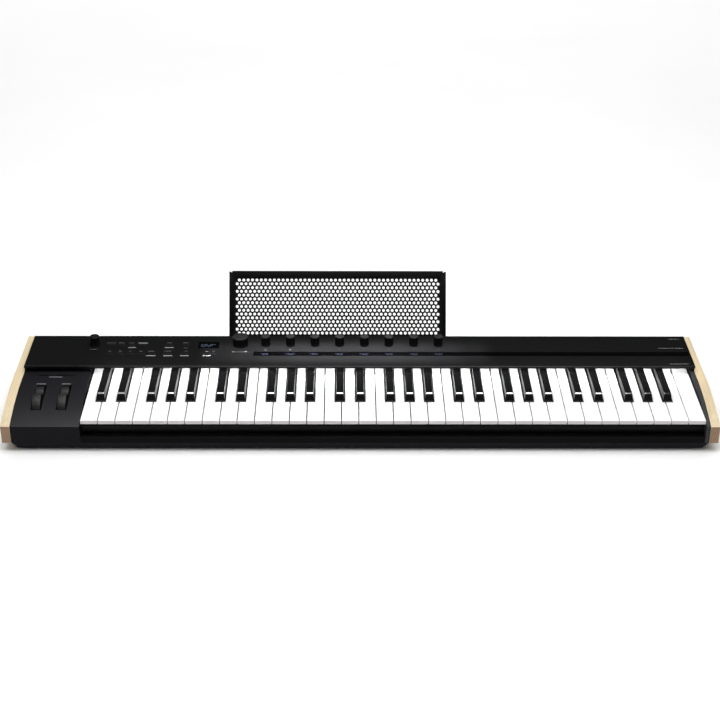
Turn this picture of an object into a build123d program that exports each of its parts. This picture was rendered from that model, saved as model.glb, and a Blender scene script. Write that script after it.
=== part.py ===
"""Sixty-one-key synthesizer with wooden ends, a raised control panel and a perforated stand.

Every length is in millimetres. While modelling, Y counts back from the plane of the front
rail, Z counts up from the surface the feet stand on, and X counts right from the middle.
The finished solids are shifted so that the origin is at the bottom centre of the whole object.
"""

from build123d import *
import math
import os

# Overall case
CASE_WIDTH = 974.0
CASE_DEPTH = 225.0
END_THICKNESS = 12.6
SEAM = 0.1                       # hairline joint between neighbouring housings
OVERCUT = 1.0                    # how far a cut runs past the surface it opens
HEAD_GAP = 0.05                  # glue line or bearing gap between faces that only just meet
INNER_X = CASE_WIDTH / 2 - END_THICKNESS
SHELL_X = INNER_X - SEAM

# Heights
FOOT_HEIGHT = 3.0
TRAY_TOP_Z = 14.0
WOOD_BOTTOM_Z = 13.6
RAIL_TOP_Z = 23.5
SIDE_TOP_Z = 54.2
PANEL_TOP_Z = 64.0

# Side profile: flat at the back, one arc that falls towards the front
ARC_START_Y = 101.0
ARC_RADIUS = 354.0

# Housings
SKIN = 2.5
TRAY_FRONT_INSET = 5.0
TRAY_SIDE_INSET = 7.0
TRAY_RIM = 7.5
TRAY_SIDE_RIM = 9.5
BLOCK_RIGHT_X = -380.3
HOUSING_BACK_Y = 207.0
CHEEK_LEFT_X = 468.3
RAIL_DEPTH = 11.5

# Control panel
PANEL_FRONT_Y = 121.0
PANEL_BACK_Y = 209.0
PANEL_SHEET = 2.0
PANEL_LIP = 4.0
SKIRT_Y = 125.0

# Keys
KEY_PITCH = 23.5
WHITE_KEYS = 36
KEYS_CENTRE_X = 44.0
KEYS_LEFT_X = KEYS_CENTRE_X - WHITE_KEYS * KEY_PITCH / 2
KEYS_RIGHT_X = KEYS_CENTRE_X + WHITE_KEYS * KEY_PITCH / 2
OCTAVES = 5
OCTAVE_WIDTH = 7 * KEY_PITCH
KEY_GAP = 1.2
KEY_FRONT_Y = 1.0
KEY_BACK_Y = 142.0
KEY_TOP_Z = 49.0
KEY_THICKNESS = 6.0
KEY_BOTTOM_Z = KEY_TOP_Z - KEY_THICKNESS
KEY_LIP = 2.4                    # height of the lip along a white key's front edge
KEY_APRON_SETBACK = 0.6          # how far the front face below the lip stands back
BLACK_FRONT_Y = 50.0
BLACK_BASE_WIDTH = 12.6
BLACK_TOP_WIDTH = 9.4
BLACK_TOP_Z = 60.0
BLACK_NOSE_SETBACK = 6.0
BLACK_BACK_DROP = 2.6
NOTCH_GAP = 1.1
LEVER_WIDTH = 8.0
LEVER_START_Y = 131.0
LEVER_END_Y = 196.0
LEVER_BOTTOM_Z = 36.0
LEVER_TOP_Z = 46.0

# Key pivot
PIVOT_Y = 186.0
PIVOT_Z = 41.0
PIVOT_ROD_RADIUS = 1.5
RIB_ABOVE_PIVOT = 3.0
RIB_HALF_DEPTH = 4.0
RUNNING_CLEARANCE = 0.06

# Keybed
BED_LEFT_X = KEYS_LEFT_X - 0.6
BED_RIGHT_X = KEYS_RIGHT_X + 0.6
BED_FLOOR_Z = 18.0
BED_PLATE = 2.0
BED_FRONT_Y = 12.0
BED_BACK_Y = 197.0
BED_TOP_Z = BED_FLOOR_Z + BED_PLATE
FELTS = [                        # front Y, back Y, bottom Z, top Z of each felt strip
    (13.0, 19.0, 32.0, 33.5),
    (52.0, 58.0, 34.0, 35.4),
    (190.5, 196.5, 32.5, 35.9),
]
CONTACT_FRONT_Y = 90.0
CONTACT_BACK_Y = 128.0
CONTACT_BOARD_Z = 30.0
BOARD = 1.6
RUBBER_STRIP_WIDTH = 16.0
RUBBER_STRIP = 2.0
RUBBER_DOME = (6.0, 9.0)
RUBBER_TOP_Z = 38.2
BOSS_RADIUS = 4.0
SCREW_RADIUS = 1.5
SCREW_HEAD_RADIUS = 3.5
SCREW_HEAD = 1.5
SCREW_TOP_Z = 15.0
SCREW_CLEARANCE = 0.2
SCREW_X = [-300.0, -100.0, 100.0, 300.0]
SCREW_Y = [36.0, 136.0]

# Wheels
WHEEL_X = {"pitch_wheel": -443.7, "mod_wheel": -409.1}
WHEEL_Y = 60.7
WHEEL_Z = 26.2
WHEEL_RADIUS = 35.0
WHEEL_WIDTH = 11.4
WHEEL_HUB_RADIUS = 9.0
WHEEL_CUT = 3.0                  # the wheel is a segment whose flat side is this far above the axle
GROOVE_ANGLE = 87.1              # of the finger groove's middle, above the rearward horizontal
GROOVE_DISTANCE = 37.7           # from the axle to the middle of the groove's round section
GROOVE_RADIUS = 10.0
AXLE_RADIUS = 3.0
WELL_WIDTH = 14.2
WELL_FRONT_Y = 30.5
WELL_BACK_Y = 85.5
BRACKET_X = [-453.5, -426.4, -399.5]
BRACKET_SHEET = 2.0
BRACKET_BASE_LENGTH = 32.0
BRACKET_ARM_WIDTH = 16.0
BRACKET_ABOVE_AXLE = 8.0

# Knobs
KNOB_Y = 182.0
KNOB_COUNT = 8
KNOB_FIRST_X = -136.4
KNOB_PITCH = 35.61
KNOB_RADIUS = 6.35
KNOB_TOP_Z = 79.0
ENCODER_X = -172.7
ENCODER_RADIUS = 11.0
ENCODER_TOP_Z = 78.0
VOLUME_X = -382.5
VOLUME_RADIUS = 6.6
VOLUME_SKIRT_RADIUS = 7.4
VOLUME_SKIRT_HEIGHT = 2.5
VOLUME_TOP_Z = 78.5
KNOB_LIFT = 0.6
SHAFT_RADIUS = 3.0
SHAFT_HOLE_RADIUS = 3.6
SHAFT_BOTTOM_Z = 57.0

# Buttons
ROW_BACK_Y = 179.5
ROW_FRONT_Y = 155.0
BUTTON_WIDTH = 12.0
WIDE_BUTTON_WIDTH = 10.6
BUTTON_DEPTH = 5.0
BUTTON_PITCH = 15.0
BUTTONS_LEFT_X = -358.0
SOLO_BUTTON_X = [-275.5, -250.5]
DISPLAY_BUTTON_X = [-224.4, -212.4]
BUTTON_GAP = 0.3
BUTTON_PROUD = 0.8
BUTTON_FLANGE = 1.0
BUTTON_FLANGE_LEDGE = 1.2        # how far the flange stands out in front and behind
BUTTON_FLANGE_Z = 60.7
BUTTON_BOTTOM_Z = 58.4
BUTTON_TRAVEL = 0.6
OCTAVE_BUTTON_Y = 113.3
OCTAVE_BUTTON_WIDTH = 24.8
OCTAVE_BUTTON_DEPTH = 4.2
OCTAVE_BUTTON_X = {"octave_down_button": -439.7, "octave_up_button": -414.7}
OCTAVE_FLANGE_Z = 50.4
OCTAVE_BOTTOM_Z = 47.0

# Displays
STRIP_LEFT_X = -153.0
STRIP_RIGHT_X = 471.8
STRIP_FRONT_Y = 150.3
STRIP_BACK_Y = 161.9
WINDOW_X = -218.5
WINDOW_WIDTH = 30.0
WINDOW_FRONT_Y = 171.8
WINDOW_BACK_Y = 191.0
LENS_TOP_Z = 63.5
LENS_FLANGE = 1.6
LENS_FLANGE_WIDTH = 1.8
MODULE_THICKNESS = 1.8
SMALL_MODULE = (26.0, 9.0)
MAIN_MODULE = (29.0, 18.0)

# Circuit boards
PANEL_BOARD_Z = 54.8
PANEL_BOARD_LEFT_X = -400.0
PANEL_BOARD_RIGHT_X = 140.0
PANEL_BOARD_FRONT_Y = 146.0
PANEL_BOARD_BACK_Y = 204.0
ENCODER_BODY = (12.0, 12.0, 5.0)
SWITCH_BODY = (6.0, 4.0, 1.3)
SWITCH_GAP = BUTTON_TRAVEL + 0.1  # between a button at rest and the top of its switch
OCTAVE_BOARD_MARGIN = (12.0, 7.0)
MAIN_BOARD_Z = 8.0
MAIN_BOARD_X = (-385.0, -185.0)
MAIN_BOARD_Y = (150.0, 214.0)

# Rear sockets
SOCKET_Z = 25.0
SOCKET_FRONT_Y = 199.0
SOCKET_LEG = 10.0
JACK_X = [-262.0, -236.0, -210.0]
JACK_RADIUS = 3.2
JACK_NOSE_RADIUS = 5.2
JACK_BODY = 16.0
JACK_DEPTH = 22.0
DIN_X = [-325.0, -295.0]
DIN_RADIUS = 6.75
DIN_NOSE_RADIUS = 9.0
DIN_BODY = 20.0
DIN_DEPTH = 9.0
USB_X = -357.0
USB_OUTER = (10.4, 4.6)
USB_MOUTH = (8.9, 3.1)
USB_TONGUE = (6.7, 0.7)
USB_DEPTH = 7.0
USB_TONGUE_SETBACK = 1.0
USB_SHELL_FRONT_Y = 206.0
USB_LEG = 5.0
NOSE_GAP = 0.15

# Stand
STAND_X = -32.6
STAND_WIDTH = 317.9
STAND_SHEET = 1.6
STAND_LENGTH = 99.5
STAND_LEAN = 30.0                # degrees back from upright
STAND_BEND_Y = 213.0
STAND_BEND_Z = 57.0
STAND_FLANGE = 10.0
STAND_TOP_FLANGE = 8.0
STAND_FLANGE_START = 6.0        # the side folds begin this far up the sheet
STAND_RELIEF = (4.5, 1.2)         # width and height of the step at each top corner
HOLE_RADIUS = 2.3
HOLE_PITCH = 6.4
HOLE_ROW_PITCH = HOLE_PITCH * math.sqrt(3) / 2
HOLE_ROWS = 15
HOLES_PER_LONG_ROW = 47
HOLE_TOP_MARGIN = 13.6
TONGUE_WIDTH = 40.0
TONGUE_OFFSET = 100.0
TONGUE_BOTTOM_Z = 30.0
TONGUE_GAP = 0.2

# Feet
FOOT_RADIUS = 9.0
FOOT_X = [-430.0, 0.0, 430.0]
FOOT_Y = [24.0, 200.0]


def block(x0, x1, y0, y1, z0, z1):
    """A box between two corners."""
    centre = Pos((x0 + x1) / 2, (y0 + y1) / 2, (z0 + z1) / 2)
    return centre * Box(x1 - x0, y1 - y0, z1 - z0)


def plate(centre_x, centre_y, size, z0, z1):
    """A box standing on z0, given by its centre and its (X, Y) size."""
    half_x, half_y = size[0] / 2, size[1] / 2
    return block(centre_x - half_x, centre_x + half_x, centre_y - half_y, centre_y + half_y, z0, z1)


def upright_cylinder(x, y, z0, z1, radius):
    return Pos(x, y, (z0 + z1) / 2) * Cylinder(radius, z1 - z0)


def cylinder_along_x(x0, x1, y, z, radius):
    return Pos((x0 + x1) / 2, y, z) * Rot(0, 90, 0) * Cylinder(radius, x1 - x0)


def cylinder_along_y(x, y0, y1, z, radius):
    return Pos(x, (y0 + y1) / 2, z) * Rot(90, 0, 0) * Cylinder(radius, y1 - y0)


def side_height(y, inset=0.0):
    """Height of the side profile's arc at depth y, moved inwards by inset."""
    radius = ARC_RADIUS - inset
    run = max(ARC_START_Y - y, 0.0)
    return SIDE_TOP_Z - inset - (radius - math.sqrt(radius**2 - run**2))


def side_profile(x0, x1, front_y, back_y, bottom_z, inset=0.0):
    """A solid from x0 to x1 whose top follows the falling side profile."""
    middle_y = (front_y + ARC_START_Y) / 2
    front = (front_y, side_height(front_y, inset))
    middle = (middle_y, side_height(middle_y, inset))
    arc_start = (ARC_START_Y, SIDE_TOP_Z - inset)
    edges = [
        Line((front_y, bottom_z), front),
        ThreePointArc(front, middle, arc_start),
        Line(arc_start, (back_y, SIDE_TOP_Z - inset)),
        Line((back_y, SIDE_TOP_Z - inset), (back_y, bottom_z)),
        Line((back_y, bottom_z), (front_y, bottom_z)),
    ]
    face = make_face(Curve() + edges)
    return extrude(Plane.YZ.offset(x0) * face, amount=x1 - x0)


def white_tail(index):
    """Octave, group start and tail widths: where each white key's rear part is centred."""
    octave, note = divmod(index, 7)
    in_front_group = note < 3
    group_start = 0 if in_front_group else 3
    tail_pitch = KEY_PITCH * (3 / 5 if in_front_group else 4 / 7)
    tail = 2 * (note - group_start)
    start_x = KEYS_LEFT_X + octave * OCTAVE_WIDTH + group_start * KEY_PITCH
    return start_x + (tail + 0.5) * tail_pitch


def black_centres():
    """Centre X of every black key, with the name of its note."""
    groups = [(0, 3 / 5, ["c_sharp", "d_sharp"]), (3, 4 / 7, ["f_sharp", "g_sharp", "a_sharp"])]
    centres = []
    for octave in range(OCTAVES):
        for group_start, share, notes in groups:
            start_x = KEYS_LEFT_X + octave * OCTAVE_WIDTH + group_start * KEY_PITCH
            for position, note in enumerate(notes):
                tail = 2 * position + 1
                centres.append((note, start_x + (tail + 0.5) * share * KEY_PITCH))
    return centres


def lever(centre_x):
    """The hidden rear part of a key, with the bore that rides on the pivot rod."""
    left, right = centre_x - LEVER_WIDTH / 2, centre_x + LEVER_WIDTH / 2
    arm = block(left, right, LEVER_START_Y, LEVER_END_Y, LEVER_BOTTOM_Z, LEVER_TOP_Z)
    bore = cylinder_along_x(left, right, PIVOT_Y, PIVOT_Z, PIVOT_ROD_RADIUS + RUNNING_CLEARANCE)
    return arm - bore


def white_key(index):
    left = KEYS_LEFT_X + index * KEY_PITCH + KEY_GAP / 2
    right = left + KEY_PITCH - KEY_GAP
    key = block(left, right, KEY_FRONT_Y, KEY_BACK_Y, KEY_BOTTOM_Z, KEY_TOP_Z)
    key -= block(
        left - OVERCUT, right + OVERCUT, KEY_FRONT_Y - OVERCUT, KEY_FRONT_Y + KEY_APRON_SETBACK,
        KEY_BOTTOM_Z - OVERCUT, KEY_TOP_Z - KEY_LIP,
    )
    notch_half = BLACK_BASE_WIDTH / 2 + NOTCH_GAP
    for _, centre in black_centres():
        if left - notch_half < centre < right + notch_half:
            key -= block(
                centre - notch_half, centre + notch_half,
                BLACK_FRONT_Y - NOTCH_GAP, KEY_BACK_Y + OVERCUT,
                KEY_BOTTOM_Z - OVERCUT, KEY_TOP_Z + OVERCUT,
            )
    return key + lever(white_tail(index))


def black_key(centre_x):
    """A tapered bar: a trapezoid across, cut by the sloping nose and the gently falling top."""
    base_half = BLACK_BASE_WIDTH / 2
    top_half = BLACK_TOP_WIDTH / 2
    across = Polyline(
        (centre_x - base_half, KEY_BOTTOM_Z),
        (centre_x - base_half, KEY_TOP_Z),
        (centre_x - top_half, BLACK_TOP_Z),
        (centre_x + top_half, BLACK_TOP_Z),
        (centre_x + base_half, KEY_TOP_Z),
        (centre_x + base_half, KEY_BOTTOM_Z),
        close=True,
    )
    bar_plane = Plane(origin=(0, BLACK_FRONT_Y, 0), x_dir=(1, 0, 0), z_dir=(0, -1, 0))
    bar = extrude(bar_plane * make_face(across), amount=-(KEY_BACK_Y - BLACK_FRONT_Y))
    along = Polyline(
        (BLACK_FRONT_Y, KEY_BOTTOM_Z),
        (BLACK_FRONT_Y, KEY_TOP_Z),
        (BLACK_FRONT_Y + BLACK_NOSE_SETBACK, BLACK_TOP_Z),
        (KEY_BACK_Y, BLACK_TOP_Z - BLACK_BACK_DROP),
        (KEY_BACK_Y, KEY_BOTTOM_Z),
        close=True,
    )
    side_plane = Plane.YZ.offset(centre_x - base_half - OVERCUT)
    side = extrude(side_plane * make_face(along), amount=BLACK_BASE_WIDTH + 2 * OVERCUT)
    return (bar & side) + lever(centre_x)


def make_keys():
    """One node for each note name: all the keys of that name, each a solid of its own."""
    names = ["c", "d", "e", "f", "g", "a", "b"]
    keys = {}
    for index in range(WHITE_KEYS):
        keys.setdefault("keys_" + names[index % 7], []).append(white_key(index))
    for note, centre in black_centres():
        keys.setdefault("keys_" + note, []).append(black_key(centre))
    return keys


def make_keybed():
    """Chassis of the keyboard: floor plate, stop walls, pivot rod on its ribs, and screw bosses."""
    bed = block(BED_LEFT_X, BED_RIGHT_X, BED_FRONT_Y, BED_BACK_Y, BED_FLOOR_Z, BED_TOP_Z)
    for front_y, back_y, bottom_z, _ in FELTS:
        bed += block(BED_LEFT_X, BED_RIGHT_X, front_y, back_y, BED_TOP_Z, bottom_z)
    for wall_y in (CONTACT_FRONT_Y, CONTACT_BACK_Y - BED_PLATE):
        bed += block(BED_LEFT_X, BED_RIGHT_X, wall_y, wall_y + BED_PLATE, BED_TOP_Z, CONTACT_BOARD_Z)
    rod = cylinder_along_x(BED_LEFT_X, BED_RIGHT_X, PIVOT_Y, PIVOT_Z, PIVOT_ROD_RADIUS)
    bed += rod
    rib_half = BED_PLATE / 2
    rib_front, rib_back = PIVOT_Y - RIB_HALF_DEPTH, PIVOT_Y + RIB_HALF_DEPTH
    rib_top = PIVOT_Z + RIB_ABOVE_PIVOT
    rib_centres = [KEYS_LEFT_X + octave * OCTAVE_WIDTH for octave in range(1, OCTAVES + 1)]
    rib_centres += [BED_LEFT_X + rib_half, BED_RIGHT_X - rib_half]
    for rib_x in rib_centres:
        bed += block(rib_x - rib_half, rib_x + rib_half, rib_front, rib_back, BED_TOP_Z, rib_top)
    for x, y in screw_places():
        bed += upright_cylinder(x, y, FOOT_HEIGHT + SKIN, BED_FLOOR_Z, BOSS_RADIUS)
        thread_radius = SCREW_RADIUS + RUNNING_CLEARANCE
        bed -= upright_cylinder(x, y, FOOT_HEIGHT, SCREW_TOP_Z + OVERCUT, thread_radius)
    return bed


def make_felts():
    return [block(BED_LEFT_X, BED_RIGHT_X, *strip) for strip in FELTS]


def make_contact_strip():
    """The key contact board and the rubber strip whose domes the keys press."""
    board = block(
        BED_LEFT_X, BED_RIGHT_X, CONTACT_FRONT_Y, CONTACT_BACK_Y,
        CONTACT_BOARD_Z, CONTACT_BOARD_Z + BOARD,
    )
    middle_y = (CONTACT_FRONT_Y + CONTACT_BACK_Y) / 2
    rubber_base = CONTACT_BOARD_Z + BOARD
    half_width = RUBBER_STRIP_WIDTH / 2
    dome_base = rubber_base + RUBBER_STRIP
    rubber = block(
        BED_LEFT_X, BED_RIGHT_X, middle_y - half_width, middle_y + half_width,
        rubber_base, dome_base,
    )
    centres = [white_tail(index) for index in range(WHITE_KEYS)]
    centres += [centre for _, centre in black_centres()]
    for centre in centres:
        rubber += plate(centre, middle_y, RUBBER_DOME, dome_base, RUBBER_TOP_Z)
    return [board, rubber]


def screw_places():
    return [(x, y) for x in SCREW_X for y in SCREW_Y]


def make_bottom_tray():
    """Shallow tray with sloping sides: a floor with countersunk screw holes and four rims round it."""
    top_face = Plane.XY.offset(TRAY_TOP_Z) * Pos(0, CASE_DEPTH / 2) * Rectangle(2 * SHELL_X, CASE_DEPTH)
    bottom_face = (
        Plane.XY.offset(FOOT_HEIGHT) * Pos(0, CASE_DEPTH / 2)
        * Rectangle(2 * (SHELL_X - TRAY_SIDE_INSET), CASE_DEPTH - 2 * TRAY_FRONT_INSET)
    )
    outside = loft([bottom_face, top_face], ruled=True)
    inside_x = SHELL_X - TRAY_SIDE_RIM
    inside_back = CASE_DEPTH - TRAY_RIM
    floor = block(-inside_x, inside_x, TRAY_RIM, inside_back, FOOT_HEIGHT, FOOT_HEIGHT + SKIN)
    bottom = FOOT_HEIGHT - OVERCUT
    for x, y in screw_places():
        floor -= upright_cylinder(x, y, bottom, TRAY_TOP_Z, SCREW_RADIUS + SCREW_CLEARANCE)
        floor -= upright_cylinder(x, y, bottom, FOOT_HEIGHT + SCREW_HEAD, SCREW_HEAD_RADIUS + SCREW_CLEARANCE)
    rims = [
        (-SHELL_X, SHELL_X, 0, TRAY_RIM),
        (-SHELL_X, SHELL_X, inside_back, CASE_DEPTH),
        (-SHELL_X, -inside_x, TRAY_RIM, inside_back),
        (inside_x, SHELL_X, TRAY_RIM, inside_back),
    ]
    return [floor] + [outside & block(*rim, FOOT_HEIGHT, TRAY_TOP_Z) for rim in rims]


def make_rear_housing():
    """The rear wall with its socket holes, and the deck behind the panel with the stand's slots."""
    wall_front = CASE_DEPTH - SKIN
    cut_front, cut_back = wall_front - OVERCUT, CASE_DEPTH + OVERCUT
    wall = block(-SHELL_X, SHELL_X, wall_front, CASE_DEPTH, TRAY_TOP_Z, SIDE_TOP_Z)
    deck_bottom = SIDE_TOP_Z - SKIN
    deck = block(-SHELL_X, SHELL_X, PANEL_BACK_Y + SEAM, wall_front, deck_bottom, SIDE_TOP_Z)
    for side in (-1, 1):
        deck -= plate(
            STAND_X + side * TONGUE_OFFSET, STAND_BEND_Y + STAND_SHEET / 2,
            (TONGUE_WIDTH + 2 * TONGUE_GAP, STAND_SHEET + 2 * TONGUE_GAP),
            deck_bottom - OVERCUT, SIDE_TOP_Z + OVERCUT,
        )
    for x in JACK_X:
        wall -= cylinder_along_y(x, cut_front, cut_back, SOCKET_Z, JACK_NOSE_RADIUS + NOSE_GAP)
    for x in DIN_X:
        wall -= cylinder_along_y(x, cut_front, cut_back, SOCKET_Z, DIN_NOSE_RADIUS + NOSE_GAP)
    usb_half = (USB_OUTER[0] / 2 + NOSE_GAP, USB_OUTER[1] / 2 + NOSE_GAP)
    wall -= block(
        USB_X - usb_half[0], USB_X + usb_half[0], cut_front, cut_back,
        SOCKET_Z - usb_half[1], SOCKET_Z + usb_half[1],
    )
    return [wall, deck]


def make_screws():
    head_top = FOOT_HEIGHT + SCREW_HEAD - HEAD_GAP
    screws = []
    for x, y in screw_places():
        head = upright_cylinder(x, y, FOOT_HEIGHT, head_top, SCREW_HEAD_RADIUS)
        screws.append(head + upright_cylinder(x, y, head_top, SCREW_TOP_Z, SCREW_RADIUS))
    return screws


def make_feet():
    return [upright_cylinder(x, y, 0, FOOT_HEIGHT, FOOT_RADIUS) for x in FOOT_X for y in FOOT_Y]


def make_key_slip():
    """The rail under the keys' front edge: an upright face with a shelf behind its top."""
    left, right = BLOCK_RIGHT_X + SEAM, CHEEK_LEFT_X - SEAM
    face = block(left, right, 0, SKIN, TRAY_TOP_Z, RAIL_TOP_Z)
    shelf = block(left, right, 0, RAIL_DEPTH, RAIL_TOP_Z - SKIN, RAIL_TOP_Z)
    return face + shelf


def make_wheel_housing():
    """The block left of the keys: a shell open below, with two wheel wells and a button slot."""
    shell = side_profile(-SHELL_X, BLOCK_RIGHT_X, 0, HOUSING_BACK_Y, TRAY_TOP_Z)
    shell -= side_profile(
        -SHELL_X + SKIN, BLOCK_RIGHT_X - SKIN, SKIN, HOUSING_BACK_Y - SKIN,
        TRAY_TOP_Z - OVERCUT, inset=SKIN,
    )
    middle_y = (WELL_FRONT_Y + WELL_BACK_Y) / 2
    for x in WHEEL_X.values():
        well_size = (WELL_WIDTH, WELL_BACK_Y - WELL_FRONT_Y)
        shell -= plate(x, middle_y, well_size, side_height(0), SIDE_TOP_Z + OVERCUT)
    for x in OCTAVE_BUTTON_X.values():
        slot = (OCTAVE_BUTTON_WIDTH + 2 * BUTTON_GAP, OCTAVE_BUTTON_DEPTH + 2 * BUTTON_GAP)
        shell -= plate(x, OCTAVE_BUTTON_Y, slot, SIDE_TOP_Z - SKIN - OVERCUT, SIDE_TOP_Z + OVERCUT)
    return shell


def make_wooden_end(side):
    inner, outer = side * INNER_X, side * CASE_WIDTH / 2
    return side_profile(min(inner, outer), max(inner, outer), 0, CASE_DEPTH, WOOD_BOTTOM_Z)


def knob_positions():
    """Name, X, cap radius and top height of every knob."""
    knobs = [("volume_knob", VOLUME_X, VOLUME_RADIUS, VOLUME_TOP_Z)]
    knobs.append(("value_encoder_knob", ENCODER_X, ENCODER_RADIUS, ENCODER_TOP_Z))
    for index in range(KNOB_COUNT):
        x = KNOB_FIRST_X + index * KNOB_PITCH
        knobs.append((f"control_knob_{index + 1}", x, KNOB_RADIUS, KNOB_TOP_Z))
    return knobs


def button_positions():
    """Name, X, Y and width of every flat button in the control panel."""
    buttons = []
    for index in range(4):
        x = BUTTONS_LEFT_X + index * BUTTON_PITCH
        buttons.append((f"function_button_{index + 1}", x, ROW_BACK_Y, BUTTON_WIDTH))
    for index in range(5):
        x = BUTTONS_LEFT_X + index * BUTTON_PITCH
        buttons.append((f"function_button_{index + 5}", x, ROW_FRONT_Y, BUTTON_WIDTH))
    for index, x in enumerate(SOLO_BUTTON_X):
        buttons.append((f"mode_button_{index + 1}", x, ROW_BACK_Y, BUTTON_WIDTH))
        buttons.append((f"mode_button_{index + 3}", x, ROW_FRONT_Y, BUTTON_WIDTH))
    for index, x in enumerate(DISPLAY_BUTTON_X):
        buttons.append((f"page_button_{index + 1}", x, ROW_FRONT_Y, WIDE_BUTTON_WIDTH))
    return buttons


def make_top_panel():
    """Raised cover: a sheet with a front lip and all its openings, and the walls that carry it."""
    underside = PANEL_TOP_Z - PANEL_SHEET
    cut_bottom, cut_top = underside - OVERCUT, PANEL_TOP_Z + OVERCUT
    sheet = block(-SHELL_X, SHELL_X, PANEL_FRONT_Y, PANEL_BACK_Y, underside, PANEL_TOP_Z)
    sheet += block(
        -SHELL_X, SHELL_X, PANEL_FRONT_Y, PANEL_FRONT_Y + PANEL_SHEET,
        PANEL_TOP_Z - PANEL_LIP, underside,
    )
    for _, x, _, _ in knob_positions():
        sheet -= upright_cylinder(x, KNOB_Y, cut_bottom, cut_top, SHAFT_HOLE_RADIUS)
    for _, x, y, width in button_positions():
        slot = (width + 2 * BUTTON_GAP, BUTTON_DEPTH + 2 * BUTTON_GAP)
        sheet -= plate(x, y, slot, cut_bottom, cut_top)
    for x0, x1, y0, y1 in lens_openings():
        sheet -= block(x0, x1, y0, y1, cut_bottom, cut_top)
    rear_front = PANEL_BACK_Y - PANEL_SHEET
    side_front = SKIRT_Y + PANEL_SHEET
    walls = [
        (-SHELL_X, SHELL_X, rear_front, PANEL_BACK_Y),
        (-SHELL_X, -SHELL_X + PANEL_SHEET, side_front, rear_front),
        (SHELL_X - PANEL_SHEET, SHELL_X, side_front, rear_front),
        (-SHELL_X, BLOCK_RIGHT_X, SKIRT_Y, side_front),
        (CHEEK_LEFT_X, SHELL_X, SKIRT_Y, side_front),
    ]
    return [sheet] + [block(*wall, SIDE_TOP_Z + SEAM, underside) for wall in walls]


def lens_openings():
    half = WINDOW_WIDTH / 2
    return [
        (STRIP_LEFT_X, STRIP_RIGHT_X, STRIP_FRONT_Y, STRIP_BACK_Y),
        (WINDOW_X - half, WINDOW_X + half, WINDOW_FRONT_Y, WINDOW_BACK_Y),
    ]


def make_lenses():
    """The long glossy strip and the display window, each with a flange glued under the sheet."""
    underside = PANEL_TOP_Z - PANEL_SHEET - HEAD_GAP
    lenses = []
    for x0, x1, y0, y1 in lens_openings():
        face = block(x0 + SEAM, x1 - SEAM, y0 + SEAM, y1 - SEAM, underside, LENS_TOP_Z)
        flange_right = min(x1 + LENS_FLANGE_WIDTH, SHELL_X - PANEL_SHEET - SEAM)
        flange = block(
            x0 - LENS_FLANGE_WIDTH, flange_right, y0 - LENS_FLANGE_WIDTH, y1 + LENS_FLANGE_WIDTH,
            underside - LENS_FLANGE, underside,
        )
        lenses.append(face + flange)
    return lenses


def make_display_modules():
    """Eight small displays under the strip, one below each knob, and the main one."""
    top = PANEL_TOP_Z - PANEL_SHEET - HEAD_GAP - LENS_FLANGE - SEAM
    strip_y = (STRIP_FRONT_Y + STRIP_BACK_Y) / 2
    window_y = (WINDOW_FRONT_Y + WINDOW_BACK_Y) / 2
    modules = [plate(WINDOW_X, window_y, MAIN_MODULE, top - MODULE_THICKNESS, top)]
    for index in range(KNOB_COUNT):
        x = KNOB_FIRST_X + index * KNOB_PITCH
        modules.append(plate(x, strip_y, SMALL_MODULE, top - MODULE_THICKNESS, top))
    return modules


def make_circuit_boards():
    """The panel board with encoder bodies and switches, the octave button board and the main board."""
    board_top = PANEL_BOARD_Z + BOARD
    board = block(
        PANEL_BOARD_LEFT_X, PANEL_BOARD_RIGHT_X, PANEL_BOARD_FRONT_Y, PANEL_BOARD_BACK_Y,
        PANEL_BOARD_Z, board_top,
    )
    for _, x, _, _ in knob_positions():
        board += plate(x, KNOB_Y, ENCODER_BODY[:2], board_top, board_top + ENCODER_BODY[2])
    shaft_bore = SHAFT_RADIUS + RUNNING_CLEARANCE
    for _, x, _, _ in knob_positions():
        board -= upright_cylinder(x, KNOB_Y, board_top, board_top + ENCODER_BODY[2] + OVERCUT, shaft_bore)
    for _, x, y, _ in button_positions():
        board += plate(x, y, SWITCH_BODY[:2], board_top, board_top + SWITCH_BODY[2])
    octave_z = OCTAVE_BOTTOM_Z - SWITCH_GAP - SWITCH_BODY[2]
    octave_x = list(OCTAVE_BUTTON_X.values())
    margin_x, margin_y = OCTAVE_BOARD_MARGIN
    octave_board = block(
        octave_x[0] - margin_x, octave_x[1] + margin_x,
        OCTAVE_BUTTON_Y - margin_y, OCTAVE_BUTTON_Y + margin_y,
        octave_z - BOARD, octave_z,
    )
    for x in octave_x:
        octave_board += plate(x, OCTAVE_BUTTON_Y, SWITCH_BODY[:2], octave_z, octave_z + SWITCH_BODY[2])
    main_board = block(*MAIN_BOARD_X, *MAIN_BOARD_Y, MAIN_BOARD_Z, MAIN_BOARD_Z + BOARD)
    return [board, octave_board, main_board]


def make_knob(x, radius, top_z, skirt_radius=None):
    """A cap on its shaft. The volume knob has a wider skirt round its foot."""
    bottom = PANEL_TOP_Z + KNOB_LIFT
    knob = upright_cylinder(x, KNOB_Y, bottom, top_z, radius)
    if skirt_radius:
        knob += upright_cylinder(x, KNOB_Y, bottom, bottom + VOLUME_SKIRT_HEIGHT, skirt_radius)
    return knob + upright_cylinder(x, KNOB_Y, SHAFT_BOTTOM_Z, bottom, SHAFT_RADIUS)


def make_button(x, y, size, top_z, flange_z, bottom_z):
    """A flat cap with a flange that holds it under the housing."""
    button = plate(x, y, size, bottom_z, top_z)
    flange_size = (size[0], size[1] + 2 * BUTTON_FLANGE_LEDGE)
    return button + plate(x, y, flange_size, flange_z, flange_z + BUTTON_FLANGE)


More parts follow.
